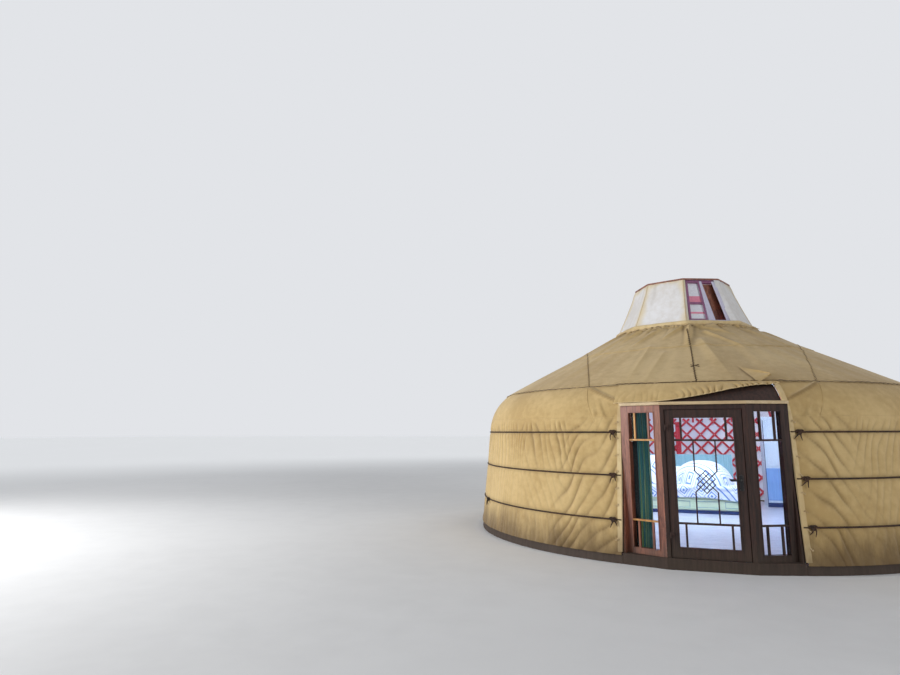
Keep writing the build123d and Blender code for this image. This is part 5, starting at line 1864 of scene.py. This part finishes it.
@dataclass
class Lantern:
    """Eight-sided roof lantern: cloth skin, rolled foot, framed light, vent and lid."""

    base: float = 3.066  # height of its foot
    height: float = 0.764  # height from its foot to its lid
    corner_radius: float = 1.030  # radius of its corners at the foot
    taper: float = math.radians(20.55)  # lean of its sides in radians
    skin: float = 0.011  # how far the cloth stands outside the frame
    light_left: float = 0.055  # share of the front side where the cloth ends at the left
    light_right: float = 0.865  # share of the front side where the cloth starts again

    @property
    def apothem(self) -> float:
        """Distance of a side from the axis at the foot."""
        return self.corner_radius * math.cos(math.radians(22.5))

    def corner(self, up: Array, out: Array) -> Array:
        """Corner radius at a height above the foot, at a distance outside the frame."""
        flat = self.apothem + out / math.cos(self.taper) - up * math.tan(self.taper)
        return flat / math.cos(math.radians(22.5))

    def side(self, azimuth: float) -> Panel:
        """Panel of a side, with its origin in the middle of the side's foot."""
        angle = math.radians(azimuth)
        across = np.array([math.cos(angle), math.sin(angle), 0])
        level = np.array([math.sin(angle), -math.cos(angle), 0])
        up = -level * math.sin(self.taper) + UP * math.cos(self.taper)
        return Panel(level * self.apothem + UP * self.base, across, up)

    def half_width(self, slope: float) -> float:
        """Half the width of a side at a distance up its slope."""
        return (self.apothem - slope * math.sin(self.taper)) * math.tan(math.radians(22.5))

    def flare(self, up: Array) -> Array:
        """How far the cloth stands off the frame: most at its foot, and a little below the lid."""
        return self.skin + 0.026 * (1 - up) ** 3 + 0.008 * bell(up, 0.94, 0.09)

    def skin_shape(self) -> Shape:
        """Cloth skin: straight between the corners, flared at the foot and loose at the top."""
        turns = np.linspace(self.light_right, 8 + self.light_left, 330)
        columns, up = np.meshgrid(turns, np.linspace(0, 1, 34), indexing="ij")
        number = np.floor(columns)
        share = columns - number
        rise = up * self.height
        edge = np.minimum(share, 1 - share)
        slack = -0.004 * np.sin(np.pi * share) ** 0.8 * np.sin(np.pi * up)
        hang = noise(81, columns * 9, up * 1.3) * 0.006 * up**2 + noise(82, columns * 3, up * 3) * 0.002
        out = self.flare(up) + slack + hang * smooth_step(0.0, 0.06, edge)
        radius = self.corner(rise, out)
        start, end = np.radians(45 * number), np.radians(45 * (number + 1))
        x = radius * ((1 - share) * np.sin(start) + share * np.sin(end))
        y = -radius * ((1 - share) * np.cos(start) + share * np.cos(end))
        points = np.stack([x, y, self.base + rise + 0 * x], -1)
        width = 2 * self.half_width(0) * (1 - 0.37 * up)
        ragged = 0.06 * noise(83, columns * 3, up * 3) + 0.02 * noise(87, columns * 12, up * 10)
        warm = 0.75 * smooth_step(0.115 + ragged, -0.02, edge * width)
        warm = np.maximum(warm, 0.7 * smooth_step(0.84 + 2 * ragged, 1.0, up))
        warm = np.maximum(warm, 0.75 * smooth_step(0.14 + ragged, 0.0, up))
        warm = warm * smooth_step(1.25, 1.9, columns)
        # painted shade in the hanging cloth's valleys, stronger towards the top
        crease = smooth_step(0.25, 0.9, -noise(81, columns * 9, up * 1.3)) * up**2
        return grid(points, warmth=np.clip(warm, 0, 1), crease=crease)

    def octagon(self, count: int, radius: float, height: float, rounding: float) -> Array:
        """Closed path round the lantern: an octagon whose corners are eased by a share."""
        azimuth = np.linspace(0, 360, count, endpoint=False)
        within = np.radians(azimuth % 45 - 22.5)
        flat = math.cos(math.radians(22.5)) / np.cos(within)
        reach = radius * (flat * (1 - rounding) + rounding * 0.975)
        angle = np.radians(azimuth)
        return np.stack([reach * np.sin(angle), -reach * np.cos(angle), np.full(count, height)], -1)

    def roll(self) -> Shape:
        """Cloth roll round the foot, thicker here and thinner there."""
        count = 480
        path = self.octagon(count, 1.0645, self.base + 0.025, 0.1)
        azimuth = np.linspace(0, 2 * np.pi, count, endpoint=False)
        uneven = 1 + 0.10 * noise(84, 6 * np.sin(azimuth) + 9, 6 * np.cos(azimuth) + 9)
        uneven = uneven + 0.05 * noise(85, 30 * np.sin(azimuth) + 40, 30 * np.cos(azimuth) + 40)
        path[:, 2] += 0.006 * noise(86, 4 * np.sin(azimuth) + 9, 4 * np.cos(azimuth) + 9)
        profile = uneven[:, None, None] * round_profile(1.0, 12)[None] * np.array([0.029, 0.040])
        return sweep(profile, path, UP, closed=True)

    def corner_seams(self) -> Shape:
        """Welts along the corners of the cloth skin, but for the one beside the light."""
        up = np.linspace(0.02, 1, 30)
        radius = self.corner(up * self.height, self.flare(up)) + 0.0005
        welts = []
        for azimuth in range(90, 361, 45):
            angle = math.radians(azimuth)
            x, y = math.sin(angle), -math.cos(angle)
            points = np.stack([radius * x, radius * y, self.base + up * self.height], -1)
            welts.append(sweep(round_profile(0.0032, 6), points, np.array([x, y, 0.3])))
        return join(welts)

    def casing(self, shop: Workshop) -> None:
        """Makes the light's plum casing and rose bands, the vent's flap, which also stands in for the shade
        inside the vent, and the pale mullion and sill.
        """
        panel = self.side(22.5)
        slope = self.height / math.cos(self.taper)

        def across(share: float, up: float) -> float:
            """Distance from the middle of the side at a share of its width."""
            return (2 * share - 1) * self.half_width(up)

        def rail(share_left: float, share_right: float, up: float, width: float, depth: float) -> Shape:
            """Level bar between two shares of the side."""
            return panel.level(up, across(share_left, up), across(share_right, up), width, depth, 0.0005)

        def post(share: float, low: float, high: float, width: float, depth: float) -> Shape:
            """Bar that leans with its share of the side."""
            ends = [panel.place(across(share, up), up, depth / 2 + 0.0005) for up in (low, high)]
            return bar(ends[0], ends[1], width, depth, panel.out)

        low, high = 0.090, slope - 0.050
        middle = low + 0.44 * (high - low)
        plum = [post(0.085, low, high, 0.036, 0.012), post(0.425, low, high, 0.024, 0.010)]
        plum += [rail(0.07, 0.45, high + 0.012, 0.034, 0.012), rail(0.09, 0.43, middle, 0.030, 0.010)]
        plum += [rail(0.09, 0.43, low + 0.006, 0.018, 0.010)]
        shop.joinery("lantern_light_casing", plum, Finish.PLUM_PAINT, bevel=0.003)
        bands = [
            panel.level(up, across(0.10, up), across(0.42, up), width, 0.004, -0.0208)
            for up, width in ((low + 0.20 * (high - low), 0.030), (low + 0.56 * (high - low), 0.115))
        ]
        shop.joinery("lantern_light_bands", bands, Finish.ROSE_PAINT, 0.001)
        # the flap is made large so that it also puts a dark board where the vent shows only shade
        edges = ((high, -0.056), (low + 0.02, -0.13))
        flap = [panel.place(across(0.73, 0.4), up, out) for up, out in edges]
        flap_normal = unit(panel.out + 0.11 * panel.up)
        shop.joinery("lantern_vent_flap_and_shade", [bar(*flap, 0.33, 0.012, flap_normal)], Finish.BAY_WOOD)
        mullion = ((0.525, 0.05), (0.480, high + 0.02))
        ends = np.array([panel.place(across(share, up), up, 0.0085) for share, up in mullion])
        widths = np.array([[0.105, 0.016], [0.034, 0.016]])
        pale = [sweep(box_profile(1, 1)[None] * widths[:, None], ends, panel.out)]
        pale += [rail(0.07, 0.88, 0.045, 0.075, 0.012), post(0.855, 0.05, high + 0.02, 0.056, 0.014)]
        shop.joinery("lantern_vent_casing", pale, Finish.WHITE_PAINT, 0.003)

    def lid(self, shop: Workshop) -> None:
        """Makes the brown rim and the cloth top of the lid."""
        top = self.base + self.height
        radius = float(self.corner(np.array(self.height), np.array(0.007))) + 0.016
        rim_path = self.octagon(240, radius - 0.009, top + 0.012, 0.06)
        rim = sweep(box_profile(0.018, 0.024), rim_path, UP, closed=True)
        shop.joinery("lantern_rim", [rim], Finish.BAY_WOOD, bevel=0.0, replaces=["lantern_lid"])
        azimuth, share = np.meshgrid(
            np.linspace(0, 360, 160, endpoint=False), np.linspace(1, 0.004, 26), indexing="ij"
        )
        within = np.radians(azimuth % 45 - 22.5)
        reach = (radius - 0.010) * share * (math.cos(math.radians(22.5)) / np.cos(within))
        angle = np.radians(azimuth)
        ribs = gather((azimuth - 22.5) / 45, 0.6)
        lift = 0.034 * (1 - share**2) - 0.008 * (1 - ribs) * np.sin(np.pi * share)
        points = np.stack([reach * np.sin(angle), -reach * np.cos(angle), top + 0.022 + lift], -1)
        # painted shade between the lid's ribs
        shape = grid(points, closed_u=True, crease=(1 - ribs) * 0.6, warmth=0.35 + 0 * ribs)
        cover = shop.make(
            "lantern_lid_cloth", shape, Finish.LANTERN_CLOTH, facing=(0, 0, 3.0)
        )

    def build(self, shop: Workshop) -> None:
        """Makes every piece of the lantern.

        Args:
            shop: The workshop that makes the pieces.
        """
        shop.copy_node("lantern_frame", Finish.PLUM_PAINT, 0.002)
        cloth = shop.make(
            "lantern_skin", self.skin_shape(), Finish.LANTERN_CLOTH, replaces=["lantern_canvas"],
            facing=(0, 0, 3.2),
        )
        around = 7.2 * 2 * self.half_width(0.4)
        shop.cords("lantern_corner_seams", [self.corner_seams()], Finish.CANVAS)
        shop.cords("lantern_roll", [self.roll()], Finish.EDGE_TAPE, ["lantern_trim"])
        self.casing(shop)
        self.lid(shop)


@dataclass
class DoorBay:
    """Glazed bay: door frame, leaf, side lights, sill, lid and the head panel over them."""

    front: float = 3.349  # distance of the bay's front from the axis
    half_width: float = 0.447  # half the width of the centre panel
    side_turn: float = math.radians(26.2)  # how far a side panel turns back, in radians
    glass_left: float = 0.083  # start of a side light's pane, from the joint
    glass_right: float = 0.391  # end of a side light's pane
    glass_low: float = 0.187  # foot of a side light's pane
    glass_high: float = 1.702  # head of a side light's pane
    leaf_pane_half: float = 0.305  # half the width of the leaf's pane
    leaf_pane_low: float = 0.235  # foot of the leaf's pane
    leaf_pane_high: float = 1.637  # head of the leaf's pane
    leaf_recess: float = 0.008  # how far the leaf lies behind the frame's face

    def centre(self, recess: float = 0.0) -> Panel:
        """Panel of the centre of the bay, with its origin on the axis at the ground."""
        return Panel(np.array([0.0, -self.front + recess, 0.0]), np.array([1.0, 0.0, 0.0]))

    def side(self, sign: int) -> Panel:
        """Panel of a side light; its distances run away from the door, negative at the left."""
        across = np.array([math.cos(self.side_turn), sign * math.sin(self.side_turn), 0])
        return Panel(np.array([sign * self.half_width, -self.front, 0.0]), across)

    def beads(self, sign: int) -> list[Shape]:
        """Beads round a side light's pane."""
        left, right = sorted((sign * self.glass_left, sign * self.glass_right))
        low, high = self.glass_low - 0.010, self.glass_high + 0.010
        return self.side(sign).surround(left - 0.010, right + 0.010, low, high, 0.010, 0.007, 0.0)

    def muntin_caps(self, sign: int) -> list[Shape]:
        """Rounded caps on the upright muntins of a side light, apart from the outer upper one."""
        panel = self.side(sign)
        caps = []
        for low, high in ((self.glass_low, 0.480), (1.402, self.glass_high)):
            for share in (0.22, 0.77) if low < 1 else (0.22,):
                along = sign * (self.glass_left + share * (self.glass_right - self.glass_left))
                caps.append(panel.upright(along, low, high, 0.020, 0.007, -0.0075))
        return caps

    def level_caps(self, sign: int) -> list[Shape]:
        """Rounded caps on a side light's level muntins and on its outer upper one."""
        panel = self.side(sign)
        left, right = sorted((sign * self.glass_left, sign * self.glass_right))
        along = sign * (self.glass_left + 0.77 * (self.glass_right - self.glass_left))
        caps = [panel.level(z, left, right, 0.020, 0.007, -0.0075) for z in (0.491, 1.391)]
        return [*caps, panel.upright(along, 1.402, self.glass_high, 0.020, 0.007, -0.0075)]

    def leaf_beads(self) -> list[Shape]:
        """Beads round the leaf's pane."""
        half = self.leaf_pane_half + 0.012
        low, high = self.leaf_pane_low - 0.012, self.leaf_pane_high + 0.012
        return self.centre(self.leaf_recess).surround(-half, half, low, high, 0.012, 0.006, 0.0)

    def build(self, shop: Workshop) -> None:
        """Dresses the bay's nodes and adds their mouldings.

        Args:
            shop: The workshop that makes the pieces.
        """
        # the left side light shows the red-brown wood's own colour; the door frame, sill, leaf, grille,
        # head panel and right side light carry it darkened by painted shade
        shop.copy_node("door_frame", Finish.PAINTED_SHADE_WOOD, 0.003)
        shop.copy_node("left_sidelight_frame", Finish.BAY_WOOD, 0.003)
        shop.copy_node("right_sidelight_frame", Finish.PAINTED_SHADE_WOOD, 0.003)
        shop.copy_node("door_sill", Finish.PAINTED_SHADE_WOOD, 0.004)
        shop.copy_node("bay_lid", Finish.CREAM_PAINT, 0.004)
        shop.copy_node("door_leaf", Finish.PAINTED_SHADE_WOOD, 0.003, Body.DOOR)
        shop.copy_node("door_grille", Finish.PAINTED_SHADE_WOOD, 0.0015, Body.DOOR)
        # painted shade: the head panel fills the shade between the valance's hem and the lid
        shop.finish_node("door_head_panel", Finish.PAINTED_SHADE_WOOD)
        # left side in the wood's own colour, right side in painted shade
        for sign, name, finish in ((-1, "left", Finish.BAY_WOOD), (1, "right", Finish.PAINTED_SHADE_WOOD)):
            shop.joinery(f"{name}_pane_beads", self.beads(sign), finish)
            shop.joinery(f"{name}_muntin_caps", self.muntin_caps(sign), finish)
            # painted highlight on the left side light's level caps
            level = Finish.PAINTED_HIGHLIGHT_WOOD if sign < 0 else finish
            shop.joinery(f"{name}_level_caps", self.level_caps(sign), level)
        shop.joinery("door_pane_beads", self.leaf_beads(), Finish.PAINTED_SHADE_WOOD, body=Body.DOOR)
        for node in ("door_glass", "left_sidelight_glass", "right_sidelight_glass"):
            shop.finish_node(node, Finish.GLASS)
        shop.finish_node("lantern_glass", Finish.MILK_GLASS)
        shop.finish_node("door_handle", Finish.BLACK_METAL)


@dataclass
class Room:
    """What shows inside: floor boards, frame timbers, bed with its quilt, cabinet and curtain."""

    floor_top: float = 0.120
    board_width: float = 0.145
    bed_front: float = 0.600  # place of the bed's front face
    bed_half: float = 0.900
    bed_depth: float = 1.300
    bed_top: float = 0.400  # height of the bed's platform
    # heaps under the quilt: place across, place from the bed's front, reach and rise
    heaps: tuple[tuple[float, ...], ...] = (
        (-0.56, 0.52, 0.36, 0.630), (0.20, 0.46, 0.500, 0.545), (-0.18, 0.82, 0.355, 0.415)
    )
    frames: int = 34  # frames of the quilt's simulation

    def floor(self, shop: Workshop) -> None:
        """Makes the boards, each cut to the round of the floor."""
        radius = float(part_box("floor_deck")[1].x)
        boards = []
        for y in np.arange(-radius + self.board_width / 2, radius, self.board_width):
            reach = math.sqrt(max(radius**2 - (abs(y) + self.board_width / 2) ** 2, 0.04))
            path = np.array([(-reach, y, self.floor_top / 2), (reach, y, self.floor_top / 2)])
            boards.append(sweep(box_profile(self.board_width - 0.003, self.floor_top), path, UP))
        shop.joinery("floor_planks", boards, Finish.BOARDS, replaces=["floor_deck"])

    def bed(self, shop: Workshop) -> None:
        """Makes the bed's framed front and its dark base strip, and paints its headboard."""
        bed = shop.copy_node("bed_platform", Finish.GREEN_PAINT, 0.004)
        bed.data.materials.append(shop.materials[Finish.TEAL_PAINT])
        back = self.bed_front + self.bed_depth - 0.001
        for face in bed.data.polygons:
            face.material_index = int(min(bed.data.vertices[index].co.y for index in face.vertices) > back)
        front = Panel(np.array([0.0, self.bed_front, 0.0]), np.array([1.0, 0.0, 0.0]))
        bars = [front.level(self.bed_top - 0.018, -self.bed_half, self.bed_half, 0.036, 0.012, 0.0)]
        lines = []
        count = 4
        width = 2 * self.bed_half / count
        top = self.bed_top
        for index in range(count):
            left = -self.bed_half + index * width
            right = left + width
            bars += front.surround(left + 0.02, right - 0.02, 0.19, top - 0.05, 0.022, 0.010, 0.0)
            lines += front.surround(left + 0.046, right - 0.046, 0.216, top - 0.076, 0.009, 0.004, 0.0)
        shop.joinery("bed_panels", bars, Finish.GREEN_PAINT)
        shop.joinery("bed_panel_lines", lines, Finish.TEAL_PAINT, 0.001)
        plinth = front.level(self.floor_top + 0.028, -self.bed_half, self.bed_half, 0.055, 0.014, 0.0)
        shop.joinery("bed_base_strip", [plinth], Finish.BLUE_PAINT)

    def heap_height(self, x: Array, y: Array) -> Array:
        """Height of the bedding under the quilt: a mattress and rounded heaps on it."""
        height = np.full(x.shape, 0.545)
        for centre_x, centre_y, reach, rise in self.heaps:
            away = np.hypot(x - centre_x, y - self.bed_front - centre_y) / reach
            height = np.maximum(height, self.bed_top + rise * np.sqrt(np.clip(1 - away**2.6, 0, 1)))
        return height

    def heap(self) -> Shape:
        """Heap under the quilt, which drops to the floor outside the bed."""
        x, y = np.meshgrid(np.linspace(-0.96, 0.96, 130), np.linspace(0.52, 1.95, 96), indexing="ij")
        inside = (np.abs(x) < self.bed_half - 0.03) & (y > self.bed_front + 0.01) & (y < 1.87)
        height = np.where(inside, self.heap_height(x, y), 0.14)
        return grid(np.stack([x, y, height], -1))

    def mattress(self) -> Shape:
        """Mattress as a crowned block: a superellipse in plan whose edge rounds over."""
        turn = np.linspace(0, 2 * np.pi, 160, endpoint=False)
        around, up = np.meshgrid(turn, np.linspace(0, 1, 21), indexing="ij")
        half_x, half_y, power = self.bed_half - 0.045, self.bed_depth / 2 - 0.045, 0.18
        tilt = (up - 0.5) * np.pi
        swell = np.abs(np.cos(tilt)) ** 0.22
        pull = 1 - 0.006 * np.cos(around * 24)
        x = half_x * np.sign(np.cos(around)) * np.abs(np.cos(around)) ** power * swell * pull
        y = half_y * np.sign(np.sin(around)) * np.abs(np.sin(around)) ** power * swell * pull
        rise = np.sign(np.sin(tilt)) * np.abs(np.sin(tilt)) ** 0.6
        z = self.bed_top + 0.078 + 0.070 * rise
        points = np.stack([x, y + self.bed_front + self.bed_depth / 2, z], -1)
        return grid(points, closed_u=True)

    def bedding(self, shop: Workshop) -> None:
        """Makes the mattress and the quilt, which is dropped over the heap by simulation."""
        centre = (0, 1.25, 0.48)
        mattress = shop.make("mattress", self.mattress(), Finish.LINEN, facing=centre)
        x, share = np.meshgrid(np.linspace(-0.99, 0.99, 108), np.linspace(0, 1, 82), indexing="ij")
        front = 0.40 - 0.04 * x
        y = front + (1.87 - front) * share
        start = self.heap_height(x, y) + 0.03
        flat = grid(np.stack([x, y, start], -1))
        below = (0, 1.2, -2)
        quilt = shop.make(
            "quilt", flat, Finish.QUILT, replaces=["bedding"], facing=below
        )
        self.drape(quilt)
        thickness = quilt.modifiers.new("thickness", "SOLIDIFY")
        thickness.thickness = 0.012
        thickness.offset = 1
        finer = quilt.modifiers.new("finer", "SUBSURF")
        finer.levels = finer.render_levels = 1

    def drape(self, quilt: bpy.types.Object) -> None:
        """Drops the quilt over the heap and keeps the draped mesh."""
        scene = bpy.context.scene
        mesh = bpy.data.meshes.new("heap")
        heap = self.heap()
        mesh.from_pydata(heap.points.tolist(), [], heap.faces[0].tolist())
        obstacle = bpy.data.objects.new("heap", mesh)
        scene.collection.objects.link(obstacle)
        obstacle.modifiers.new("collision", "COLLISION")
        obstacle.collision.thickness_outer = 0.012
        obstacle.collision.cloth_friction = 20
        cloth = quilt.modifiers.new("cloth", "CLOTH")
        settings = cloth.settings
        settings.quality = 6
        settings.mass = 0.35
        settings.tension_stiffness = settings.compression_stiffness = 20
        settings.shear_stiffness = 12
        settings.bending_stiffness = 3
        settings.air_damping = 2
        cloth.collision_settings.distance_min = 0.008
        cloth.point_cache.frame_start, cloth.point_cache.frame_end = 1, self.frames
        for step in range(1, self.frames + 1):
            scene.frame_set(step)
        depsgraph = bpy.context.evaluated_depsgraph_get()
        draped = bpy.data.meshes.new_from_object(quilt.evaluated_get(depsgraph), depsgraph=depsgraph)
        quilt.modifiers.remove(cloth)
        quilt.data = draped
        draped.polygons.foreach_set("use_smooth", np.ones(len(draped.polygons), bool))
        bpy.data.objects.remove(obstacle)
        scene.frame_set(1)

    def curtain(self, shop: Workshop, bay: DoorBay) -> None:
        """Makes the curtain behind the left side light: waves in depth, with painted shade in its folds and
        at the left.
        """
        panel = bay.side(-1)
        across, up = np.meshgrid(np.linspace(0, 1, 190), np.linspace(0, 1, 40), indexing="ij")
        left, right = -0.440, -0.203 + 0.022 * np.sin(np.pi * up)
        along = left + (right - left) * across
        folds = np.cos(2 * np.pi * (across * 10 + 0.35 * noise(91, across * 6, up * 2)))
        depth = -0.083 - 0.011 * folds - 0.004 * noise(92, across * 8, up * 3)
        height = 0.135 + (1.74 - 0.135) * up
        points = panel.origin + along[..., None] * panel.across + height[..., None] * UP
        points = points + depth[..., None] * panel.out
        # painted shade in the folds that lie furthest back and over the left part, where no light reaches
        shade = np.maximum(0.6 * smooth_step(0.2, 1.0, folds), smooth_step(0.44, 0.34, across))
        piece = shop.make(
            "curtain_folds", grid(points, crease=shade), Finish.CURTAIN,
            replaces=["curtain_left"], facing=(0, 0, 1),
        )

    def timbers(self, shop: Workshop) -> None:
        """Gives the poles, the crown and the ring under the wall their finishes."""
        for node in ("roof_poles_left", "roof_poles_right", "roof_poles_door", "crown_bars", "crown_ring"):
            shop.finish_node(node, Finish.RED_WOOD)
        # painted shade: the ring under the canvas's foot carries the bay wood darkened as in shadow
        shop.copy_node("base_ring", Finish.PAINTED_SHADE_WOOD, 0.003)

    def cabinet(self, shop: Workshop) -> None:
        """Makes the cabinet's framed doors, plinth and cornice."""
        shop.copy_node("cabinet", Finish.PALE_PAINT, 0.004)
        low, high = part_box("cabinet")
        front = Panel(np.array([low.x, low.y, 0.0]), np.array([1.0, 0.0, 0.0]))
        width = high.x - low.x
        upper, lower = [], []
        for left, right in ((0.012, width / 2 - 0.006), (width / 2 + 0.006, width - 0.012)):
            upper += front.surround(left, right, 0.84, high.z - 0.06, 0.045, 0.012, 0.0)
            lower += front.surround(left, right, 0.24, 0.81, 0.045, 0.012, 0.0)
            lower.append(front.upright((left + right) / 2, 0.27, 0.78, right - left - 0.05, 0.005, 0.0))
        upper.append(front.level(high.z - 0.025, -0.012, width + 0.012, 0.045, 0.026, -0.010))
        dark = [front.level(0.16, 0.0, width, 0.078, 0.010, 0.0)]
        for x in (0.006, width / 2, width - 0.006):
            dark.append(front.upright(x, 0.20, high.z - 0.06, 0.011, 0.0135, 0.0))
        shop.joinery("cabinet_doors", upper, Finish.PALE_PAINT)
        shop.joinery("cabinet_lower_doors", lower, Finish.SKY_PAINT)
        shop.joinery("cabinet_plinth", dark, Finish.BLUE_PAINT)

    def build(self, shop: Workshop, bay: DoorBay) -> None:
        """Makes everything inside.

        Args:
            shop: The workshop that makes the pieces.
            bay: The door bay that the curtain hangs behind.
        """
        self.floor(shop)
        self.timbers(shop)
        self.bed(shop)
        self.bedding(shop)
        self.cabinet(shop)
        self.curtain(shop, bay)


@dataclass
class Studio:
    """Camera at the photograph's angle, soft lamps, world and a pale floor."""

    eye: tuple[float, float, float] = (-0.432, -10.708, 1.5)  # place of the camera
    yaw: float = -18.956  # turn of the view from +Y towards +X, in degrees
    pitch: float = 8.722
    roll: float = 0.161  # roll of the view in degrees
    focal_pixels: float = 609.0  # focal length in pixels of the photograph's width
    photo_width: float = 900.0  # width of the photograph in pixels
    sensor: float = 36.0  # width of the sensor in millimetres

    def camera(self) -> None:
        """Places the camera from its yaw, pitch and roll."""
        yaw, pitch, roll = (math.radians(value) for value in (self.yaw, self.pitch, self.roll))
        ahead = math.cos(pitch)
        forward = np.array([math.sin(yaw) * ahead, math.cos(yaw) * ahead, math.sin(pitch)])
        right = np.array([math.cos(yaw), -math.sin(yaw), 0.0])
        down = np.cross(forward, right)
        level = math.cos(roll) * right + math.sin(roll) * down
        fall = math.cos(roll) * down - math.sin(roll) * right
        turn = Matrix([[level[i], -fall[i], -forward[i]] for i in range(3)]).to_4x4()
        data = bpy.data.cameras.new("photo_camera")
        data.sensor_width = self.sensor
        data.lens = self.focal_pixels / self.photo_width * self.sensor
        camera = bpy.data.objects.new("photo_camera", data)
        camera.matrix_world = Matrix.Translation(self.eye) @ turn
        bpy.context.scene.collection.objects.link(camera)
        bpy.context.scene.camera = camera

    @staticmethod
    def lamp(
        name: str, place: Sequence[float], target: Sequence[float], size: float, watts: float
    ) -> bpy.types.Object:
        """Adds a square area lamp that points at a target."""
        data = bpy.data.lights.new(name, "AREA")
        data.energy = watts
        data.size = size
        lamp = bpy.data.objects.new(name, data)
        back = unit(np.array(place, float) - np.array(target, float))
        side = unit(np.cross(UP if abs(back[2]) < 0.99 else np.array([0.0, 1.0, 0.0]), back))
        rise = np.cross(back, side)
        turn = Matrix([[side[i], rise[i], back[i]] for i in range(3)]).to_4x4()
        lamp.matrix_world = Matrix.Translation(place) @ turn
        bpy.context.scene.collection.objects.link(lamp)
        return lamp

    def world(self) -> None:
        """Sets an even world that the camera, gloss and glass see as pale."""
        world = bpy.data.worlds.new("studio_world")
        bpy.context.scene.world = world
        world.use_nodes = True
        world.node_tree.nodes.clear()
        w = NodeWriter(world.node_tree)
        path = w.add("ShaderNodeLightPath")
        seen = w.maths("MAXIMUM", path.outputs["Is Camera Ray"], path.outputs["Is Transmission Ray"])
        seen = w.maths("MAXIMUM", seen, path.outputs["Is Glossy Ray"])
        light = w.add("ShaderNodeBackground", {"Color": (0.92, 0.95, 1.0, 1), "Strength": 0.34})
        shown = w.add("ShaderNodeBackground", {"Color": paint(226, 228, 232), "Strength": 1.0})
        both = w.add("ShaderNodeMixShader", {0: seen, 1: light.outputs[0], 2: shown.outputs[0]})
        w.add("ShaderNodeOutputWorld", {"Surface": both.outputs[0]})

    def floor(self) -> None:
        """Lays a plain pale floor at the ground."""
        mesh = bpy.data.meshes.new("studio_floor")
        half = 160.0
        corners = [(-half, -half, 0), (half, -half, 0), (half, half, 0), (-half, half, 0)]
        mesh.from_pydata(corners, [], [(0, 1, 2, 3)])
        floor = bpy.data.objects.new("studio_floor", mesh)
        bpy.context.scene.collection.objects.link(floor)
        material, w, shader = start_material("pale_studio_floor")
        light, dark = paint(228, 228, 228), paint(222, 222, 222)
        grey = w.group(bpy.data.node_groups["mottle"], vector=w.place(), scale=0.2, light=light, dark=dark)
        w.feed(shader, {
            "Base Color": grey["Color"],
            "Roughness": 0.9,
        })
        # far from the tent the camera sees an even pale floor where the lamps don't reach
        distance = w.add("ShaderNodeVectorMath", {0: w.place()}, operation="LENGTH").outputs["Value"]
        seen = w.add("ShaderNodeLightPath").outputs["Is Camera Ray"]
        far = w.maths("MULTIPLY", w.band(distance, 6.0, 30.0), seen)
        w.feed(shader, {
            "Emission Color": w.mix(far, (0, 0, 0, 1), paint(176, 178, 180)),
            "Emission Strength": 1.0,
        })
        mesh.materials.append(material)

    def build(self) -> None:
        """Sets up the whole studio."""
        self.camera()
        self.world()
        self.floor()
        self.lamp("key", (-13.0, -8.5, 3.8), (0, 0, 1.4), 5.5, 1330)
        self.lamp("fill", (9.0, -11.0, 4.0), (0, 0, 1.4), 7.0, 430)
        self.lamp("rim", (3.0, 12.0, 7.0), (0, 0, 1.6), 7.0, 520)
        for name, place, target, size, watts in (
            ("room", (0.1, -0.3, 2.75), (0.1, -0.2, 0.2), 1.1, 98),
            ("wall_wash", (0.1, -0.8, 2.55), (0.0, 2.9, 1.50), 0.9, 52),
            ("lantern", (0.0, 0.1, 3.60), (0.15, 0.9, 3.50), 0.3, 5),
        ):
            lamp = self.lamp(name, place, target, size, watts)
            lamp.data.color = (0.80, 0.90, 1.0)
            lamp.visible_camera = lamp.visible_glossy = lamp.visible_transmission = False
        bpy.context.scene.view_settings.view_transform = "Standard"


def main() -> None:
    """Builds every sub-assembly in order."""
    logging.basicConfig(level=logging.INFO, format="%(name)s: %(message)s")
    tent = TentShape()
    shop = Workshop()
    Studio().build()
    wall = WallCloth(tent)
    roof = RoofCloth(tent)
    bay = DoorBay()
    Lattice(tent).build(shop)
    WallTrim(tent, wall).build(shop)
    wall.build(shop)
    roof.build(shop)
    Valance(tent, roof).build(shop)
    RoofTrim(tent, roof).build(shop)
    Ropes(tent, wall).build(shop)
    Lantern().build(shop)
    bay.build(shop)
    Room().build(shop, bay)


if __name__ == "__main__":
    main()
